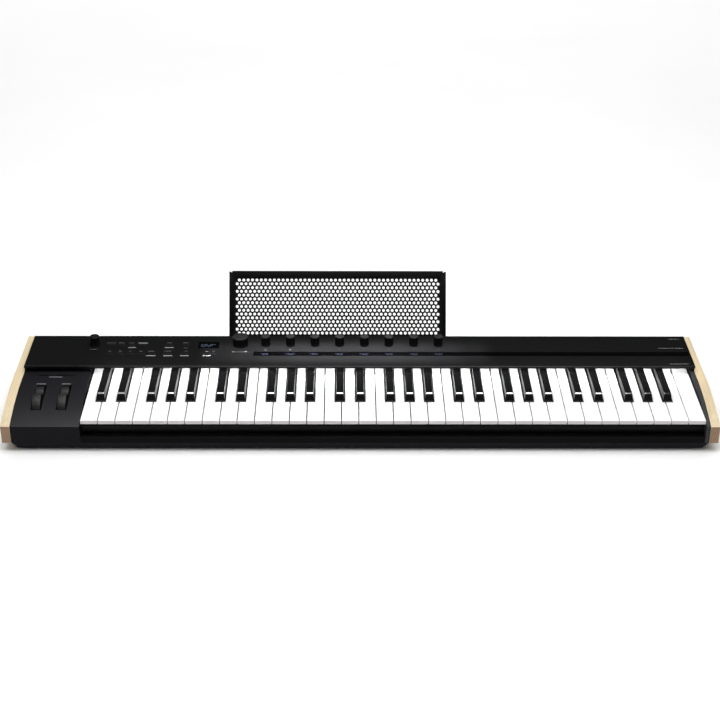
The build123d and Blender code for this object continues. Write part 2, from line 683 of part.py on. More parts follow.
def make_wheel(x):
    """A thumb wheel: the top segment of a disc on a hub, with a round finger groove across it."""
    left, right = x - WHEEL_WIDTH / 2, x + WHEEL_WIDTH / 2
    disc = cylinder_along_x(left, right, WHEEL_Y, WHEEL_Z, WHEEL_RADIUS)
    keep = block(
        left, right, WHEEL_Y - WHEEL_RADIUS, WHEEL_Y + WHEEL_RADIUS,
        WHEEL_Z + WHEEL_CUT, WHEEL_Z + WHEEL_RADIUS,
    )
    wheel = disc & keep
    groove_y = WHEEL_Y + GROOVE_DISTANCE * math.cos(math.radians(GROOVE_ANGLE))
    groove_z = WHEEL_Z + GROOVE_DISTANCE * math.sin(math.radians(GROOVE_ANGLE))
    wheel -= cylinder_along_x(left - OVERCUT, right + OVERCUT, groove_y, groove_z, GROOVE_RADIUS)
    wheel += cylinder_along_x(left, right, WHEEL_Y, WHEEL_Z, WHEEL_HUB_RADIUS)
    bore_radius = AXLE_RADIUS + RUNNING_CLEARANCE
    return wheel - cylinder_along_x(left - OVERCUT, right + OVERCUT, WHEEL_Y, WHEEL_Z, bore_radius)


def make_wheel_bracket():
    """Folded bracket on the tray floor that holds the wheels' axle."""
    floor_z = FOOT_HEIGHT + SKIN
    half = BRACKET_SHEET / 2
    left, right = BRACKET_X[0] - half, BRACKET_X[-1] + half
    middle_x = (left + right) / 2
    base_size = (right - left, BRACKET_BASE_LENGTH)
    arm_size = (BRACKET_SHEET, BRACKET_ARM_WIDTH)
    bracket = plate(middle_x, WHEEL_Y, base_size, floor_z, floor_z + BRACKET_SHEET)
    for x in BRACKET_X:
        bracket += plate(x, WHEEL_Y, arm_size, floor_z, WHEEL_Z + BRACKET_ABOVE_AXLE)
    return bracket + cylinder_along_x(left, right, WHEEL_Y, WHEEL_Z, AXLE_RADIUS)


def round_socket(x, body, nose_radius, bore_radius, depth):
    """A socket body standing on the main board, with a round nose in the rear wall and a blind bore."""
    wall_front = CASE_DEPTH - SKIN
    board_top = MAIN_BOARD_Z + BOARD
    half = body / 2
    left, right = x - half, x + half
    socket = block(left, right, SOCKET_FRONT_Y, wall_front - SEAM, SOCKET_Z - half, SOCKET_Z + half)
    socket += block(left, right, SOCKET_FRONT_Y, SOCKET_FRONT_Y + SOCKET_LEG, board_top, SOCKET_Z - half)
    socket += cylinder_along_y(x, wall_front - SEAM, CASE_DEPTH, SOCKET_Z, nose_radius)
    return socket - cylinder_along_y(x, CASE_DEPTH - depth, CASE_DEPTH + OVERCUT, SOCKET_Z, bore_radius)


def make_rear_sockets():
    """USB inlet, two five-pin sockets and three jack sockets."""
    sockets = [round_socket(x, JACK_BODY, JACK_NOSE_RADIUS, JACK_RADIUS, JACK_DEPTH) for x in JACK_X]
    sockets += [round_socket(x, DIN_BODY, DIN_NOSE_RADIUS, DIN_RADIUS, DIN_DEPTH) for x in DIN_X]
    half_x, half_z = USB_OUTER[0] / 2, USB_OUTER[1] / 2
    left, right = USB_X - half_x, USB_X + half_x
    usb = block(left, right, USB_SHELL_FRONT_Y, CASE_DEPTH, SOCKET_Z - half_z, SOCKET_Z + half_z)
    usb += block(
        left, right, USB_SHELL_FRONT_Y, USB_SHELL_FRONT_Y + USB_LEG,
        MAIN_BOARD_Z + BOARD, SOCKET_Z - half_z,
    )
    mouth_x, mouth_z = USB_MOUTH[0] / 2, USB_MOUTH[1] / 2
    usb -= block(
        USB_X - mouth_x, USB_X + mouth_x, CASE_DEPTH - USB_DEPTH, CASE_DEPTH + OVERCUT,
        SOCKET_Z - mouth_z, SOCKET_Z + mouth_z,
    )
    tongue_x, tongue_z = USB_TONGUE[0] / 2, USB_TONGUE[1] / 2
    usb += block(
        USB_X - tongue_x, USB_X + tongue_x,
        CASE_DEPTH - USB_DEPTH - OVERCUT, CASE_DEPTH - USB_TONGUE_SETBACK,
        SOCKET_Z - tongue_z, SOCKET_Z + tongue_z,
    )
    return sockets + [usb]


def make_stand():
    """Perforated sheet leaning back, with folded edges and two tongues that plug into the deck."""
    lean = math.radians(STAND_LEAN)
    sheet_plane = Plane(
        origin=(STAND_X, STAND_BEND_Y, STAND_BEND_Z),
        x_dir=(1, 0, 0),
        z_dir=(0, -math.cos(lean), math.sin(lean)),
    )
    half = STAND_WIDTH / 2
    relief_width, relief_height = STAND_RELIEF
    face = Pos(0, STAND_LENGTH / 2) * Rectangle(STAND_WIDTH, STAND_LENGTH)
    centres = []
    for row in range(HOLE_ROWS):
        count = HOLES_PER_LONG_ROW - 1 + row % 2
        v = STAND_LENGTH - HOLE_TOP_MARGIN - row * HOLE_ROW_PITCH
        for column in range(count):
            centres.append(((column - (count - 1) / 2) * HOLE_PITCH, v))
    face -= [Pos(u, v) * Circle(HOLE_RADIUS) for u, v in centres]
    for side in (-1, 1):
        face -= Pos(side * half, STAND_LENGTH) * Rectangle(2 * relief_width, 2 * relief_height)
    sheet = extrude(face, amount=-STAND_SHEET)
    flange_end = STAND_LENGTH - relief_height
    for side in (-1, 1):
        inner, outer = side * (half - STAND_SHEET), side * half
        left, right = min(inner, outer), max(inner, outer)
        sheet += block(left, right, STAND_FLANGE_START, flange_end, -STAND_FLANGE, 0)
    sheet += block(
        -half + relief_width, half - relief_width,
        STAND_LENGTH - STAND_SHEET, STAND_LENGTH, -STAND_TOP_FLANGE, 0,
    )
    stand = sheet_plane * sheet
    foot = plate(
        STAND_X, STAND_BEND_Y + STAND_SHEET / 2, (STAND_WIDTH, STAND_SHEET),
        SIDE_TOP_Z + HEAD_GAP, STAND_BEND_Z + OVERCUT,
    )
    stand += foot
    for side in (-1, 1):
        stand += plate(
            STAND_X + side * TONGUE_OFFSET, STAND_BEND_Y + STAND_SHEET / 2,
            (TONGUE_WIDTH, STAND_SHEET), TONGUE_BOTTOM_Z, SIDE_TOP_Z + OVERCUT,
        )
    return stand


def make_nodes():
    """Every node's solids, before the shift to the object's origin."""
    nodes = make_keys()
    nodes["keybed_chassis"] = [make_keybed()]
    nodes["key_felts"] = make_felts()
    nodes["key_contact_strip"] = make_contact_strip()
    nodes["bottom_tray"] = make_bottom_tray()
    nodes["rear_housing"] = make_rear_housing()
    nodes["case_screws"] = make_screws()
    nodes["rubber_feet"] = make_feet()
    nodes["key_slip"] = [make_key_slip()]
    nodes["wheel_housing"] = [make_wheel_housing()]
    nodes["right_cheek"] = [side_profile(CHEEK_LEFT_X, SHELL_X, 0, HOUSING_BACK_Y, TRAY_TOP_Z)]
    nodes["wooden_end_left"] = [make_wooden_end(-1)]
    nodes["wooden_end_right"] = [make_wooden_end(1)]
    nodes["top_panel"] = make_top_panel()
    nodes["display_lenses"] = make_lenses()
    nodes["display_modules"] = make_display_modules()
    nodes["circuit_boards"] = make_circuit_boards()
    nodes["rear_sockets"] = make_rear_sockets()
    nodes["wheel_bracket"] = [make_wheel_bracket()]
    nodes["stand"] = [make_stand()]
    for name, x in WHEEL_X.items():
        nodes[name] = [make_wheel(x)]
    for name, x, radius, top_z in knob_positions():
        skirt_radius = VOLUME_SKIRT_RADIUS if name == "volume_knob" else None
        nodes[name] = [make_knob(x, radius, top_z, skirt_radius)]
    for name, x, y, width in button_positions():
        top_z = PANEL_TOP_Z + BUTTON_PROUD
        size = (width, BUTTON_DEPTH)
        nodes[name] = [make_button(x, y, size, top_z, BUTTON_FLANGE_Z, BUTTON_BOTTOM_Z)]
    for name, x in OCTAVE_BUTTON_X.items():
        top_z = SIDE_TOP_Z + BUTTON_PROUD
        size = (OCTAVE_BUTTON_WIDTH, OCTAVE_BUTTON_DEPTH)
        nodes[name] = [make_button(x, OCTAVE_BUTTON_Y, size, top_z, OCTAVE_FLANGE_Z, OCTAVE_BOTTOM_Z)]
    return nodes


def to_origin(nodes):
    """Moves every solid so that the origin is at the bottom centre of the object."""
    overall_depth = nodes["stand"][0].bounding_box().max.Y
    shift = Pos(0, -overall_depth / 2, 0)
    return {name: [shift * solid for solid in solids] for name, solids in nodes.items()}


def write_nodes(nodes):
    os.makedirs("parts", exist_ok=True)
    for name, pieces in nodes.items():
        solids = [solid for piece in pieces for solid in piece.solids()]
        export_step(Compound(children=solids) if len(solids) > 1 else solids[0], f"parts/{name}.step")


if __name__ == "__main__":
    write_nodes(to_origin(make_nodes()))
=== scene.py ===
import math
import random

import bmesh
import bpy
from mathutils import Matrix, Vector


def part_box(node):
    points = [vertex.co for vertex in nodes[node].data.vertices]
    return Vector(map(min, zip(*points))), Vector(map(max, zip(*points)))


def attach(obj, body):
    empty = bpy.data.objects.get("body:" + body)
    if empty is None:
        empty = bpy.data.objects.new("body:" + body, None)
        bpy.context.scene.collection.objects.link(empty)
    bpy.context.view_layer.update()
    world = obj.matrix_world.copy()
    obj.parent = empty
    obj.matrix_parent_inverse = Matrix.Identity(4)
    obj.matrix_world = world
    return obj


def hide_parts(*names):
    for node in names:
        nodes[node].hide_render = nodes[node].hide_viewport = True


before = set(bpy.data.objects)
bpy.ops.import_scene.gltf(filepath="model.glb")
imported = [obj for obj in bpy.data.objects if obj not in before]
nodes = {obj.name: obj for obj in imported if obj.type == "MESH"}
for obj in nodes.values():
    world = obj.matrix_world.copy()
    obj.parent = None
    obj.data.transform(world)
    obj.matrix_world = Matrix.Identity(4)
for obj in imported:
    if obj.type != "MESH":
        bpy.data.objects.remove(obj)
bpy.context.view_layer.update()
MM = 0.001
TOUCH = 0.2 * MM  # a vertex this near a plane counts as on it
dice = random.Random(61)  # breaks up the printed marks

FRONT_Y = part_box("key_slip")[0].y
PANEL_LOW, PANEL_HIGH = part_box("top_panel")
PANEL_Z = PANEL_HIGH.z
DECK_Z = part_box("rear_housing")[1].z
WALL_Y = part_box("rear_housing")[1].y
WHITE_NODES = ["keys_" + note for note in "cdefgab"]
BLACK_NODES = ["keys_" + note + "_sharp" for note in "cdfga"]
KNOB_NODES = sorted(n for n in nodes if n.endswith("_knob") or n.startswith("control_knob_"))
BUTTON_NODES = sorted(n for n in nodes if "_button" in n)
WHEEL_NODES = ["pitch_wheel", "mod_wheel"]


def depth(mm):
    """Y of a place that many millimetres behind the front plane."""
    return FRONT_Y + mm * MM


# ---------------------------------------------------------------- materials

class Surface:
    """A node material, made one node at a time in the object's own coordinates.

    The keyword values set the shader's inputs, with underscores for spaces.
    """

    def __init__(self, name, **values):
        self.material = bpy.data.materials.new(name)
        self.material.use_nodes = True
        self.tree = self.material.node_tree
        self.shader = self.tree.nodes["Principled BSDF"]
        for key, value in values.items():
            self.shader.inputs[key.replace("_", " ")].default_value = value
        coordinates = self.tree.nodes.new("ShaderNodeTexCoord")
        self.place = coordinates.outputs["Object"]
        self.facing = coordinates.outputs["Normal"]

    def put(self, socket, value):
        if isinstance(value, bpy.types.NodeSocket):
            self.tree.links.new(value, socket)
        else:
            socket.default_value = value

    def scaled(self, x, y, z):
        node = self.tree.nodes.new("ShaderNodeMapping")
        self.put(node.inputs["Vector"], self.place)
        node.inputs["Scale"].default_value = (x, y, z)
        return node.outputs["Vector"]

    def noise(self, scale, vector=None, detail=3.0, roughness=0.5, distortion=0.0):
        node = self.tree.nodes.new("ShaderNodeTexNoise")
        self.put(node.inputs["Vector"], vector or self.place)
        self.put(node.inputs["Scale"], scale)
        self.put(node.inputs["Detail"], detail)
        self.put(node.inputs["Roughness"], roughness)
        self.put(node.inputs["Distortion"], distortion)
        return node.outputs["Fac"]

    def cells(self, scale, vector=None):
        node = self.tree.nodes.new("ShaderNodeTexVoronoi")
        self.put(node.inputs["Vector"], vector or self.place)
        self.put(node.inputs["Scale"], scale)
        return node.outputs["Distance"]

    def bands(self, scale, vector=None, direction="X", distortion=0.0):
        node = self.tree.nodes.new("ShaderNodeTexWave")
        node.bands_direction = direction
        self.put(node.inputs["Vector"], vector or self.place)
        self.put(node.inputs["Scale"], scale)
        self.put(node.inputs["Distortion"], distortion)
        return node.outputs["Fac"]

    def ramp(self, fac, stops):
        node = self.tree.nodes.new("ShaderNodeValToRGB")
        self.put(node.inputs["Fac"], fac)
        elements = node.color_ramp.elements
        while len(elements) < len(stops):
            elements.new(0.5)
        for element, (position, colour) in zip(elements, stops):
            element.position = position
            element.color = (*colour, 1.0)
        return node.outputs["Color"]

    def span(self, fac, low, high):
        """Maps 0..1 to low..high."""
        node = self.tree.nodes.new("ShaderNodeMapRange")
        self.put(node.inputs["Value"], fac)
        node.inputs["To Min"].default_value = low
        node.inputs["To Max"].default_value = high
        return node.outputs["Result"]

    def math(self, operation, a, b=0.0):
        node = self.tree.nodes.new("ShaderNodeMath")
        node.operation = operation
        self.put(node.inputs[0], a)
        self.put(node.inputs[1], b)
        return node.outputs[0]

    def mix(self, fac, a, b, blend="MIX"):
        """Blends the colours a and b; inputs 0, 6 and 7 are its factor and its two colours."""
        node = self.tree.nodes.new("ShaderNodeMix")
        node.data_type = "RGBA"
        node.blend_type = blend
        self.put(node.inputs[0], fac)
        self.put(node.inputs[6], a)
        self.put(node.inputs[7], b)
        return node.outputs[2]

    def towards(self, name):
        """How far the surface faces along an axis, either way: 0 to 1."""
        node = self.tree.nodes.new("ShaderNodeSeparateXYZ")
        self.put(node.inputs[0], self.facing)
        return self.math("ABSOLUTE", node.outputs[name])

    def set(self, name, value):
        self.put(self.shader.inputs[name], value)

    def colour(self, value):
        self.set("Base Color", value)

    def roughness(self, value):
        self.set("Roughness", value)

    def bump(self, height, distance):
        """Raises the surface by up to distance, on top of any bump made before."""
        node = self.tree.nodes.new("ShaderNodeBump")
        self.put(node.inputs["Height"], height)
        node.inputs["Distance"].default_value = distance
        node.inputs["Strength"].default_value = 1.0
        normal = self.shader.inputs["Normal"]
        if normal.is_linked:
            self.put(node.inputs["Normal"], normal.links[0].from_socket)
        self.put(normal, node.outputs["Normal"])


def grey(value, blue=1.0):
    return (value, value, value * blue)


def greys(low, high, blue=1.0):
    """The stops of a ramp over a noise, from one grey to another."""
    return [(0.3, grey(low, blue)), (0.7, grey(high, blue))]


def moulded(name, dark, light, rough, grain=2200.0, depth_mm=0.03, specular=0.35, blue=1.05,
            upright=None):
    """Fine-grained moulded plastic. Upright faces may have a duller finish than the top."""
    s = Surface(name, Specular_IOR_Level=specular)
    if upright is not None:
        s.set("Specular IOR Level", s.span(s.towards("Z"), upright, specular))
    fine = s.noise(grain, detail=2.0)
    broad = s.noise(14.0, detail=4.0)
    stops = [(0.15, grey(dark, blue)), (0.85, grey(light, blue))]
    s.colour(s.ramp(s.math("MULTIPLY_ADD", fine, 0.6), stops))
    s.roughness(s.span(broad, rough - 0.05, rough + 0.05))
    s.bump(fine, depth_mm * MM)
    return s.material


def make_wood():
    """Pale ash: the grain runs along Y, and the faces across it show darker end grain, darkened further
    as painted shade.
    """
    s = Surface("pale_wood", Specular_IOR_Level=0.35)
    streaks = s.noise(1.0, s.scaled(900.0, 9.0, 500.0), detail=5.0, roughness=0.62)
    rings = s.noise(1.0, s.scaled(160.0, 3.2, 90.0), detail=3.0, distortion=0.6)
    patches = s.noise(1.0, s.scaled(30.0, 7.0, 30.0), detail=2.0)
    shades = [(0.30, (0.55, 0.44, 0.27)), (0.52, (0.64, 0.53, 0.345)), (0.72, (0.70, 0.60, 0.41))]
    base = s.ramp(rings, shades)
    fine = s.ramp(streaks, [(0.32, (0.80, 0.74, 0.66)), (0.58, (1.0, 1.0, 1.0))])
    long_grain = s.mix(0.75, base, fine, "MULTIPLY")
    long_grain = s.mix(s.span(patches, 0.0, 0.35), long_grain, (0.66, 0.55, 0.36, 1.0))
    pores = s.cells(1.0, s.scaled(1500.0, 1500.0, 1500.0))
    end_rings = s.bands(1.0, s.scaled(260.0, 40.0, 90.0), "DIAGONAL", 3.0)
    # End grain colours, made darker than the end grain alone: painted shade on the faces across the
    # grain.
    end = s.ramp(end_rings, [(0.2, (0.27, 0.165, 0.095)), (0.8, (0.35, 0.23, 0.14))])
    pitted = s.ramp(pores, [(0.1, (0.55, 0.5, 0.45)), (0.5, (1.0, 1.0, 1.0))])
    end = s.mix(0.5, end, pitted, "MULTIPLY")
    end_grain_and_shade_share = s.math("GREATER_THAN", s.towards("Y"), 0.85)
    s.colour(s.mix(end_grain_and_shade_share, long_grain, end))
    s.roughness(s.span(streaks, 0.42, 0.55))
    s.bump(streaks, 0.05 * MM)
    return s.material


def make_white_key():
    """Gloss white, with the front faces painted a little darker as shade."""
    s = Surface("white_key", Specular_IOR_Level=0.5, Coat_Weight=0.25, Coat_Roughness=0.08)
    shades = [(0.3, (0.88, 0.875, 0.87)), (0.7, (0.92, 0.915, 0.91))]
    top = s.ramp(s.noise(9.0, detail=2.0), shades)
    # Painted shade: the faces turned to the front take a darker colour than the tops.
    shaded_front = s.math("GREATER_THAN", s.towards("Y"), 0.9)
    s.colour(s.mix(shaded_front, top, (0.70, 0.67, 0.68, 1.0)))
    s.roughness(s.span(s.noise(60.0), 0.22, 0.32))
    s.bump(s.noise(400.0, detail=1.0), 0.0015 * MM)
    return s.material


def make_black_key():
    """Gloss black on top, turning dull where a face leans to the side."""
    s = Surface("black_key", Coat_Roughness=0.08)
    aside = s.math("SUBTRACT", s.towards("X"), 0.25)
    flank = s.math("MULTIPLY", aside, 3.0)
    s.set("Specular IOR Level", s.span(flank, 0.8, 0.06))
    s.set("Coat Weight", s.span(flank, 0.5, 0.0))
    s.colour(s.ramp(s.noise(1500.0), [(0.3, grey(0.003)), (0.7, grey(0.006, 1.1))]))
    s.roughness(s.span(s.noise(40.0), 0.12, 0.18))
    s.bump(s.noise(900.0, detail=1.0), 0.003 * MM)
    return s.material


def make_panel_paint():
    s = Surface("panel_paint", Specular_IOR_Level=0.2)
    orange_peel = s.noise(1700.0, detail=2.0)
    broad = s.noise(8.0, detail=3.0)
    s.colour(s.ramp(orange_peel, greys(0.002, 0.004, 1.05)))
    s.roughness(s.span(broad, 0.37, 0.43))
    s.bump(orange_peel, 0.03 * MM)
    return s.material


def make_knob_side():
    s = Surface("knob_side", Specular_IOR_Level=0.1)
    fine = s.noise(2600.0, detail=2.0)
    s.colour(s.ramp(fine, greys(0.0015, 0.0035)))
    s.roughness(s.span(fine, 0.45, 0.6))
    s.bump(fine, 0.02 * MM)
    return s.material


def make_knob_top():
    s = Surface("knob_top", Specular_IOR_Level=0.15)
    fine = s.noise(3200.0, detail=3.0, roughness=0.7)
    s.colour(s.ramp(fine, greys(0.0012, 0.0045)))
    s.roughness(s.span(fine, 0.5, 0.7))
    s.bump(fine, 0.05 * MM)
    return s.material


def make_wheel_tread():
    s = Surface("wheel_tread", Specular_IOR_Level=0.15)
    ribs = s.bands(190.0)
    fine = s.noise(2400.0, detail=2.0)
    s.colour(s.ramp(fine, greys(0.002, 0.004, 1.04)))
    s.roughness(s.span(fine, 0.42, 0.55))
    s.bump(ribs, 0.12 * MM)
    s.bump(fine, 0.03 * MM)
    return s.material


def make_wheel_pad():
    s = Surface("wheel_pad", Specular_IOR_Level=0.2)
    stipple = s.cells(1100.0)
    # The pad is coloured lighter than the tread. That is painted light on the groove's rear, which
    # faces the lamps. The stipple is the grip's own texture.
    s.colour(s.ramp(stipple, [(0.1, grey(0.014)), (0.6, grey(0.006))]))
    s.roughness(s.span(stipple, 0.5, 0.7))
    s.bump(stipple, 0.15 * MM)
    return s.material


def make_lens():
    s = Surface("smoked_lens", Specular_IOR_Level=0.3)
    s.colour(s.ramp(s.noise(30.0), greys(0.0001, 0.0003, 1.3)))
    s.roughness(s.span(s.noise(90.0), 0.06, 0.10))
    return s.material


def make_ink(name, low, high, blue):
    s = Surface(name, Specular_IOR_Level=0.3)
    s.colour(s.ramp(s.noise(3500.0), greys(low, high, blue)))
    s.roughness(s.span(s.noise(500.0), 0.5, 0.6))
    return s.material


def make_glow(name, colour, strength):
    """Lit display cells on a dark ground."""
    s = Surface(name)
    pixels = s.cells(2400.0)
    lit = s.ramp(pixels, [(0.2, colour), (0.7, tuple(c * 0.55 for c in colour))])
    s.colour((0.01, 0.01, 0.02, 1.0))
    s.set("Emission Color", lit)
    s.set("Emission Strength", strength)
    s.roughness(s.span(pixels, 0.2, 0.3))
    return s.material


def make_metal(name, value, rough, stretch=(1.0, 1.0, 1.0)):
    s = Surface(name, Metallic=1.0)
    brushed = s.noise(1500.0, s.scaled(*stretch), detail=3.0)
    s.colour(s.ramp(brushed, greys(value * 0.85, value)))
    s.roughness(s.span(brushed, rough - 0.08, rough + 0.08))
    s.bump(brushed, 0.01 * MM)
    return s.material


def make_rubber():
    s = Surface("foot_rubber", Specular_IOR_Level=0.25)
    fine = s.noise(1400.0, detail=4.0)
    s.colour(s.ramp(fine, greys(0.008, 0.018)))
    s.roughness(s.span(fine, 0.75, 0.92))
    s.bump(fine, 0.06 * MM)
    return s.material


def make_felt():
    s = Surface("felt", Sheen_Weight=0.1, Specular_IOR_Level=0.1)
    fibres = s.noise(1.0, s.scaled(2600.0, 1400.0, 1400.0), detail=5.0, roughness=0.7)
    s.colour(s.ramp(fibres, [(0.3, (0.004, 0.004, 0.005)), (0.7, (0.010, 0.010, 0.012))]))
    s.roughness(s.span(fibres, 0.85, 1.0))
    s.bump(fibres, 0.2 * MM)
    return s.material


def make_board():
    s = Surface("solder_mask", Specular_IOR_Level=0.5)
    tracks = s.bands(70.0, distortion=4.0)
    s.colour(s.ramp(tracks, [(0.45, (0.010, 0.075, 0.028)), (0.55, (0.016, 0.13, 0.05))]))
    s.roughness(s.span(s.noise(300.0), 0.25, 0.4))
    s.bump(tracks, 0.03 * MM)
    return s.material


HOUSING = moulded("housing_plastic", 0.0028, 0.006, 0.38, blue=1.4, upright=0.07)
CHEEK = moulded("cheek_plastic", 0.010, 0.034, 0.5, grain=1500.0, depth_mm=0.05, specular=0.16)
TRAY = moulded("tray_plastic", 0.008, 0.013, 0.5, specular=0.02, blue=1.25)
# The slip is darker than the wheel housing it matches: painted shade beneath the keys' overhang.
SLIP = moulded("slip_plastic", 0.0014, 0.003, 0.5, specular=0.05)
CHASSIS = moulded("chassis_plastic", 0.003, 0.006, 0.65)
BUTTON = moulded("button_plastic", 0.003, 0.006, 0.42, grain=3000.0, depth_mm=0.015,
                 specular=0.2)
SOCKET = moulded("socket_plastic", 0.006, 0.012, 0.45)
STAND = moulded("stand_paint", 0.0012, 0.0035, 0.45, grain=1800.0, specular=0.04)
WOOD = make_wood()
WHITE = make_white_key()
BLACK = make_black_key()
PAINT = make_panel_paint()
KNOB_SIDE = make_knob_side()
KNOB_TOP = make_knob_top()
TREAD = make_wheel_tread()
PAD = make_wheel_pad()
LENS = make_lens()
LIGHT_INK = make_ink("light_ink", 0.15, 0.20, 1.08)
FAINT_INK = make_ink("faint_ink", 0.10, 0.14, 1.05)
GLOW = make_glow("display_blue", (0.24, 0.31, 0.42), 0.5)
STEEL = make_metal("zinc_steel", 0.6, 0.32, (1.0, 0.1, 1.0))
NICKEL = make_metal("nickel", 0.7, 0.25)
RUBBER = make_rubber()
FELT = make_felt()
BOARD = make_board()


# ---------------------------------------------------------------- CAD nodes

WELD_DISTANCE = 0.002 * MM
FLAT_ANGLE = math.radians(0.4)
BEVEL_ANGLE = math.radians(32)
LIP_HEIGHT = 3.5 * MM
# Where the keys' rounded edges are: heights over the floor, and millimetres behind the front
WHITE_TOP_Z, WHITE_TOP_END = 45.5 * MM, 142.5
BLACK_TOP_Z, BLACK_NOSE_END = 59.5 * MM, 57.5
BLACK_NOSE_RADIUS, BLACK_NOSE_STEPS = 4.0 * MM, 8


def dress(name, material):
    """Gives a whole CAD node one material."""
    mesh = nodes[name].data
    mesh.materials.clear()
    mesh.materials.append(material)
    mesh.polygons.foreach_set("material_index", [0] * len(mesh.polygons))


def edge_uses(mesh):
    """How many faces meet at each edge: one where the CAD mesh is split."""
    uses = [0] * len(mesh.edges)
    for polygon in mesh.polygons:
        for loop in polygon.loop_indices:
            uses[mesh.loops[loop].edge_index] += 1
    return uses


def add_bevel(obj, name, width, segments, chosen=None):
    """A bevel of the edges over BEVEL_ANGLE, or of those between the chosen vertices."""
    bevel = obj.modifiers.new(name, "BEVEL")
    bevel.width = width
    bevel.segments = segments
    bevel.use_clamp_overlap = False
    if chosen is None:
        bevel.limit_method = "ANGLE"
        bevel.angle_limit = BEVEL_ANGLE
    else:
        group = obj.vertex_groups.new(name=name)
        group.add(chosen, 1.0, "REPLACE")
        bevel.limit_method = "VGROUP"
        bevel.vertex_group = name
    return bevel


def soften(name, width, segments, inside=None, nose=None):
    """Rounds a CAD node's hard edges, or only those whose ends are both inside.

    A nose, (width, segments, test for its vertices), is rounded before them.
    """
    obj = nodes[name]
    mesh = obj.data
    if "custom_normal" in mesh.attributes:
        mesh.attributes.remove(mesh.attributes["custom_normal"])
    mesh.shade_smooth()
    chosen = [inside is None or inside(v.co) for v in mesh.vertices]
    uses = edge_uses(mesh)
    sharp = mesh.attributes.get("sharp_edge") or mesh.attributes.new("sharp_edge", "BOOLEAN", "EDGE")
    hard = []
    for edge, count in zip(mesh.edges, uses):
        a, b = edge.vertices
        hard.append(count < 2 and not (chosen[a] and chosen[b]))
    sharp.data.foreach_set("value", hard)
    weld = obj.modifiers.new("weld", "WELD")
    weld.merge_threshold = WELD_DISTANCE
    flat = obj.modifiers.new("flat", "DECIMATE")
    flat.decimate_type = "DISSOLVE"
    flat.angle_limit = FLAT_ANGLE
    if nose is not None:
        nose_width, nose_segments, on_nose = nose
        on_it = [v.index for v in mesh.vertices if on_nose(v.co)]
        add_bevel(obj, "nose", nose_width, nose_segments, on_it)
    kept = None if inside is None else [i for i, keep in enumerate(chosen) if keep]
    bevel = add_bevel(obj, "edges", width, segments, kept)
    bevel.miter_outer = "MITER_ARC"
    bevel.harden_normals = True


def on_panel_edge(p):
    """On the sheet's outer top edges, or on the lip's bottom front edge."""
    at_side = abs(p.x) > PANEL_HIGH.x - TOUCH
    shaded_front, at_back = p.y < PANEL_LOW.y + TOUCH, p.y > PANEL_HIGH.y - TOUCH
    at_top = p.z > PANEL_Z - TOUCH
    below_lip = shaded_front and p.z < PANEL_Z - LIP_HEIGHT
    return at_top and (at_side or shaded_front or at_back) or below_lip


def on_white_top(p):
    """On the playing part of a white key's top."""
    return p.z > WHITE_TOP_Z and p.y < depth(WHITE_TOP_END)


def on_black_nose(p):
    """On the front upper edge of a black key."""
    return p.z > BLACK_TOP_Z and p.y < depth(BLACK_NOSE_END)


LOOKS = {
    "bottom_tray": TRAY, "rear_housing": HOUSING, "keybed_chassis": CHASSIS, "key_felts": FELT,
    "key_contact_strip": BOARD, "case_screws": STEEL, "rubber_feet": RUBBER, "key_slip": SLIP,
    "wheel_housing": HOUSING, "right_cheek": CHEEK, "wooden_end_left": WOOD,
    "wooden_end_right": WOOD, "top_panel": PAINT, "display_lenses": LENS,
    "display_modules": LENS, "circuit_boards": BOARD, "rear_sockets": SOCKET,
    "wheel_bracket": STEEL,
}
for name, material in LOOKS.items():
    dress(name, material)
for name in WHITE_NODES:
    dress(name, WHITE)
    soften(name, 0.5 * MM, 3, on_white_top)
for name in BLACK_NODES:
    dress(name, BLACK)
    soften(name, 0.9 * MM, 3, nose=(BLACK_NOSE_RADIUS, BLACK_NOSE_STEPS, on_black_nose))
for name in BUTTON_NODES:
    dress(name, BUTTON)
    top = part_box(name)[1].z
    soften(name, 0.3 * MM, 2, lambda p, top=top: p.z > top - TOUCH)
for name in ("wooden_end_left", "wooden_end_right", "wheel_housing", "right_cheek", "key_slip"):
    soften(name, 0.5 * MM, 3)
for name in ("rear_housing", "bottom_tray"):
    soften(name, 0.4 * MM, 2)
soften("top_panel", 0.8 * MM, 3, on_panel_edge)
soften("rubber_feet", 0.6 * MM, 3)


# ---------------------------------------------------------------- new pieces

def piece(name, mesh, materials, body, replaced=()):
    """A new piece of the object: its materials, its body and the nodes it replaces."""
    obj = bpy.data.objects.new(name, mesh)
    bpy.context.scene.collection.objects.link(obj)
    for material in materials:
        mesh.materials.append(material)
    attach(obj, body)
    if replaced:
        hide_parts(*replaced)


def to_mesh(name, bm):
    bmesh.ops.recalc_face_normals(bm, faces=bm.faces)
    mesh = bpy.data.meshes.new(name)
    bm.to_mesh(mesh)
    bm.free()
    return mesh


def smooth(mesh, degrees):
    """Smooth shading, but for edges sharper than the angle."""
    mesh.shade_smooth()
    mesh.set_sharp_from_angle(angle=math.radians(degrees))


def bridge(bm, lower, upper, material=0):
    """Faces between two closed rings of as many vertices."""
    count = len(lower)
    for i in range(count):
        j = (i + 1) % count
        bm.faces.new((lower[i], lower[j], upper[j], upper[i])).material_index = material


# Knobs, each in one piece with its shaft
KNOB_GAP = 0.6 * MM  # between the panel and the knob
SHAFT_RADIUS = 3.0 * MM
SHAFT_OVERLAP = 1.0 * MM
KNURL = (0.0, 1.0, 1.0, 0.0)  # depth at each of a ridge's four vertices
TOP_FROM = 7  # the first stage that has the top's finish
LARGE_KNOB = 9.0 * MM  # radius over which a knob has more ridges
KNOB_SHARP = 30


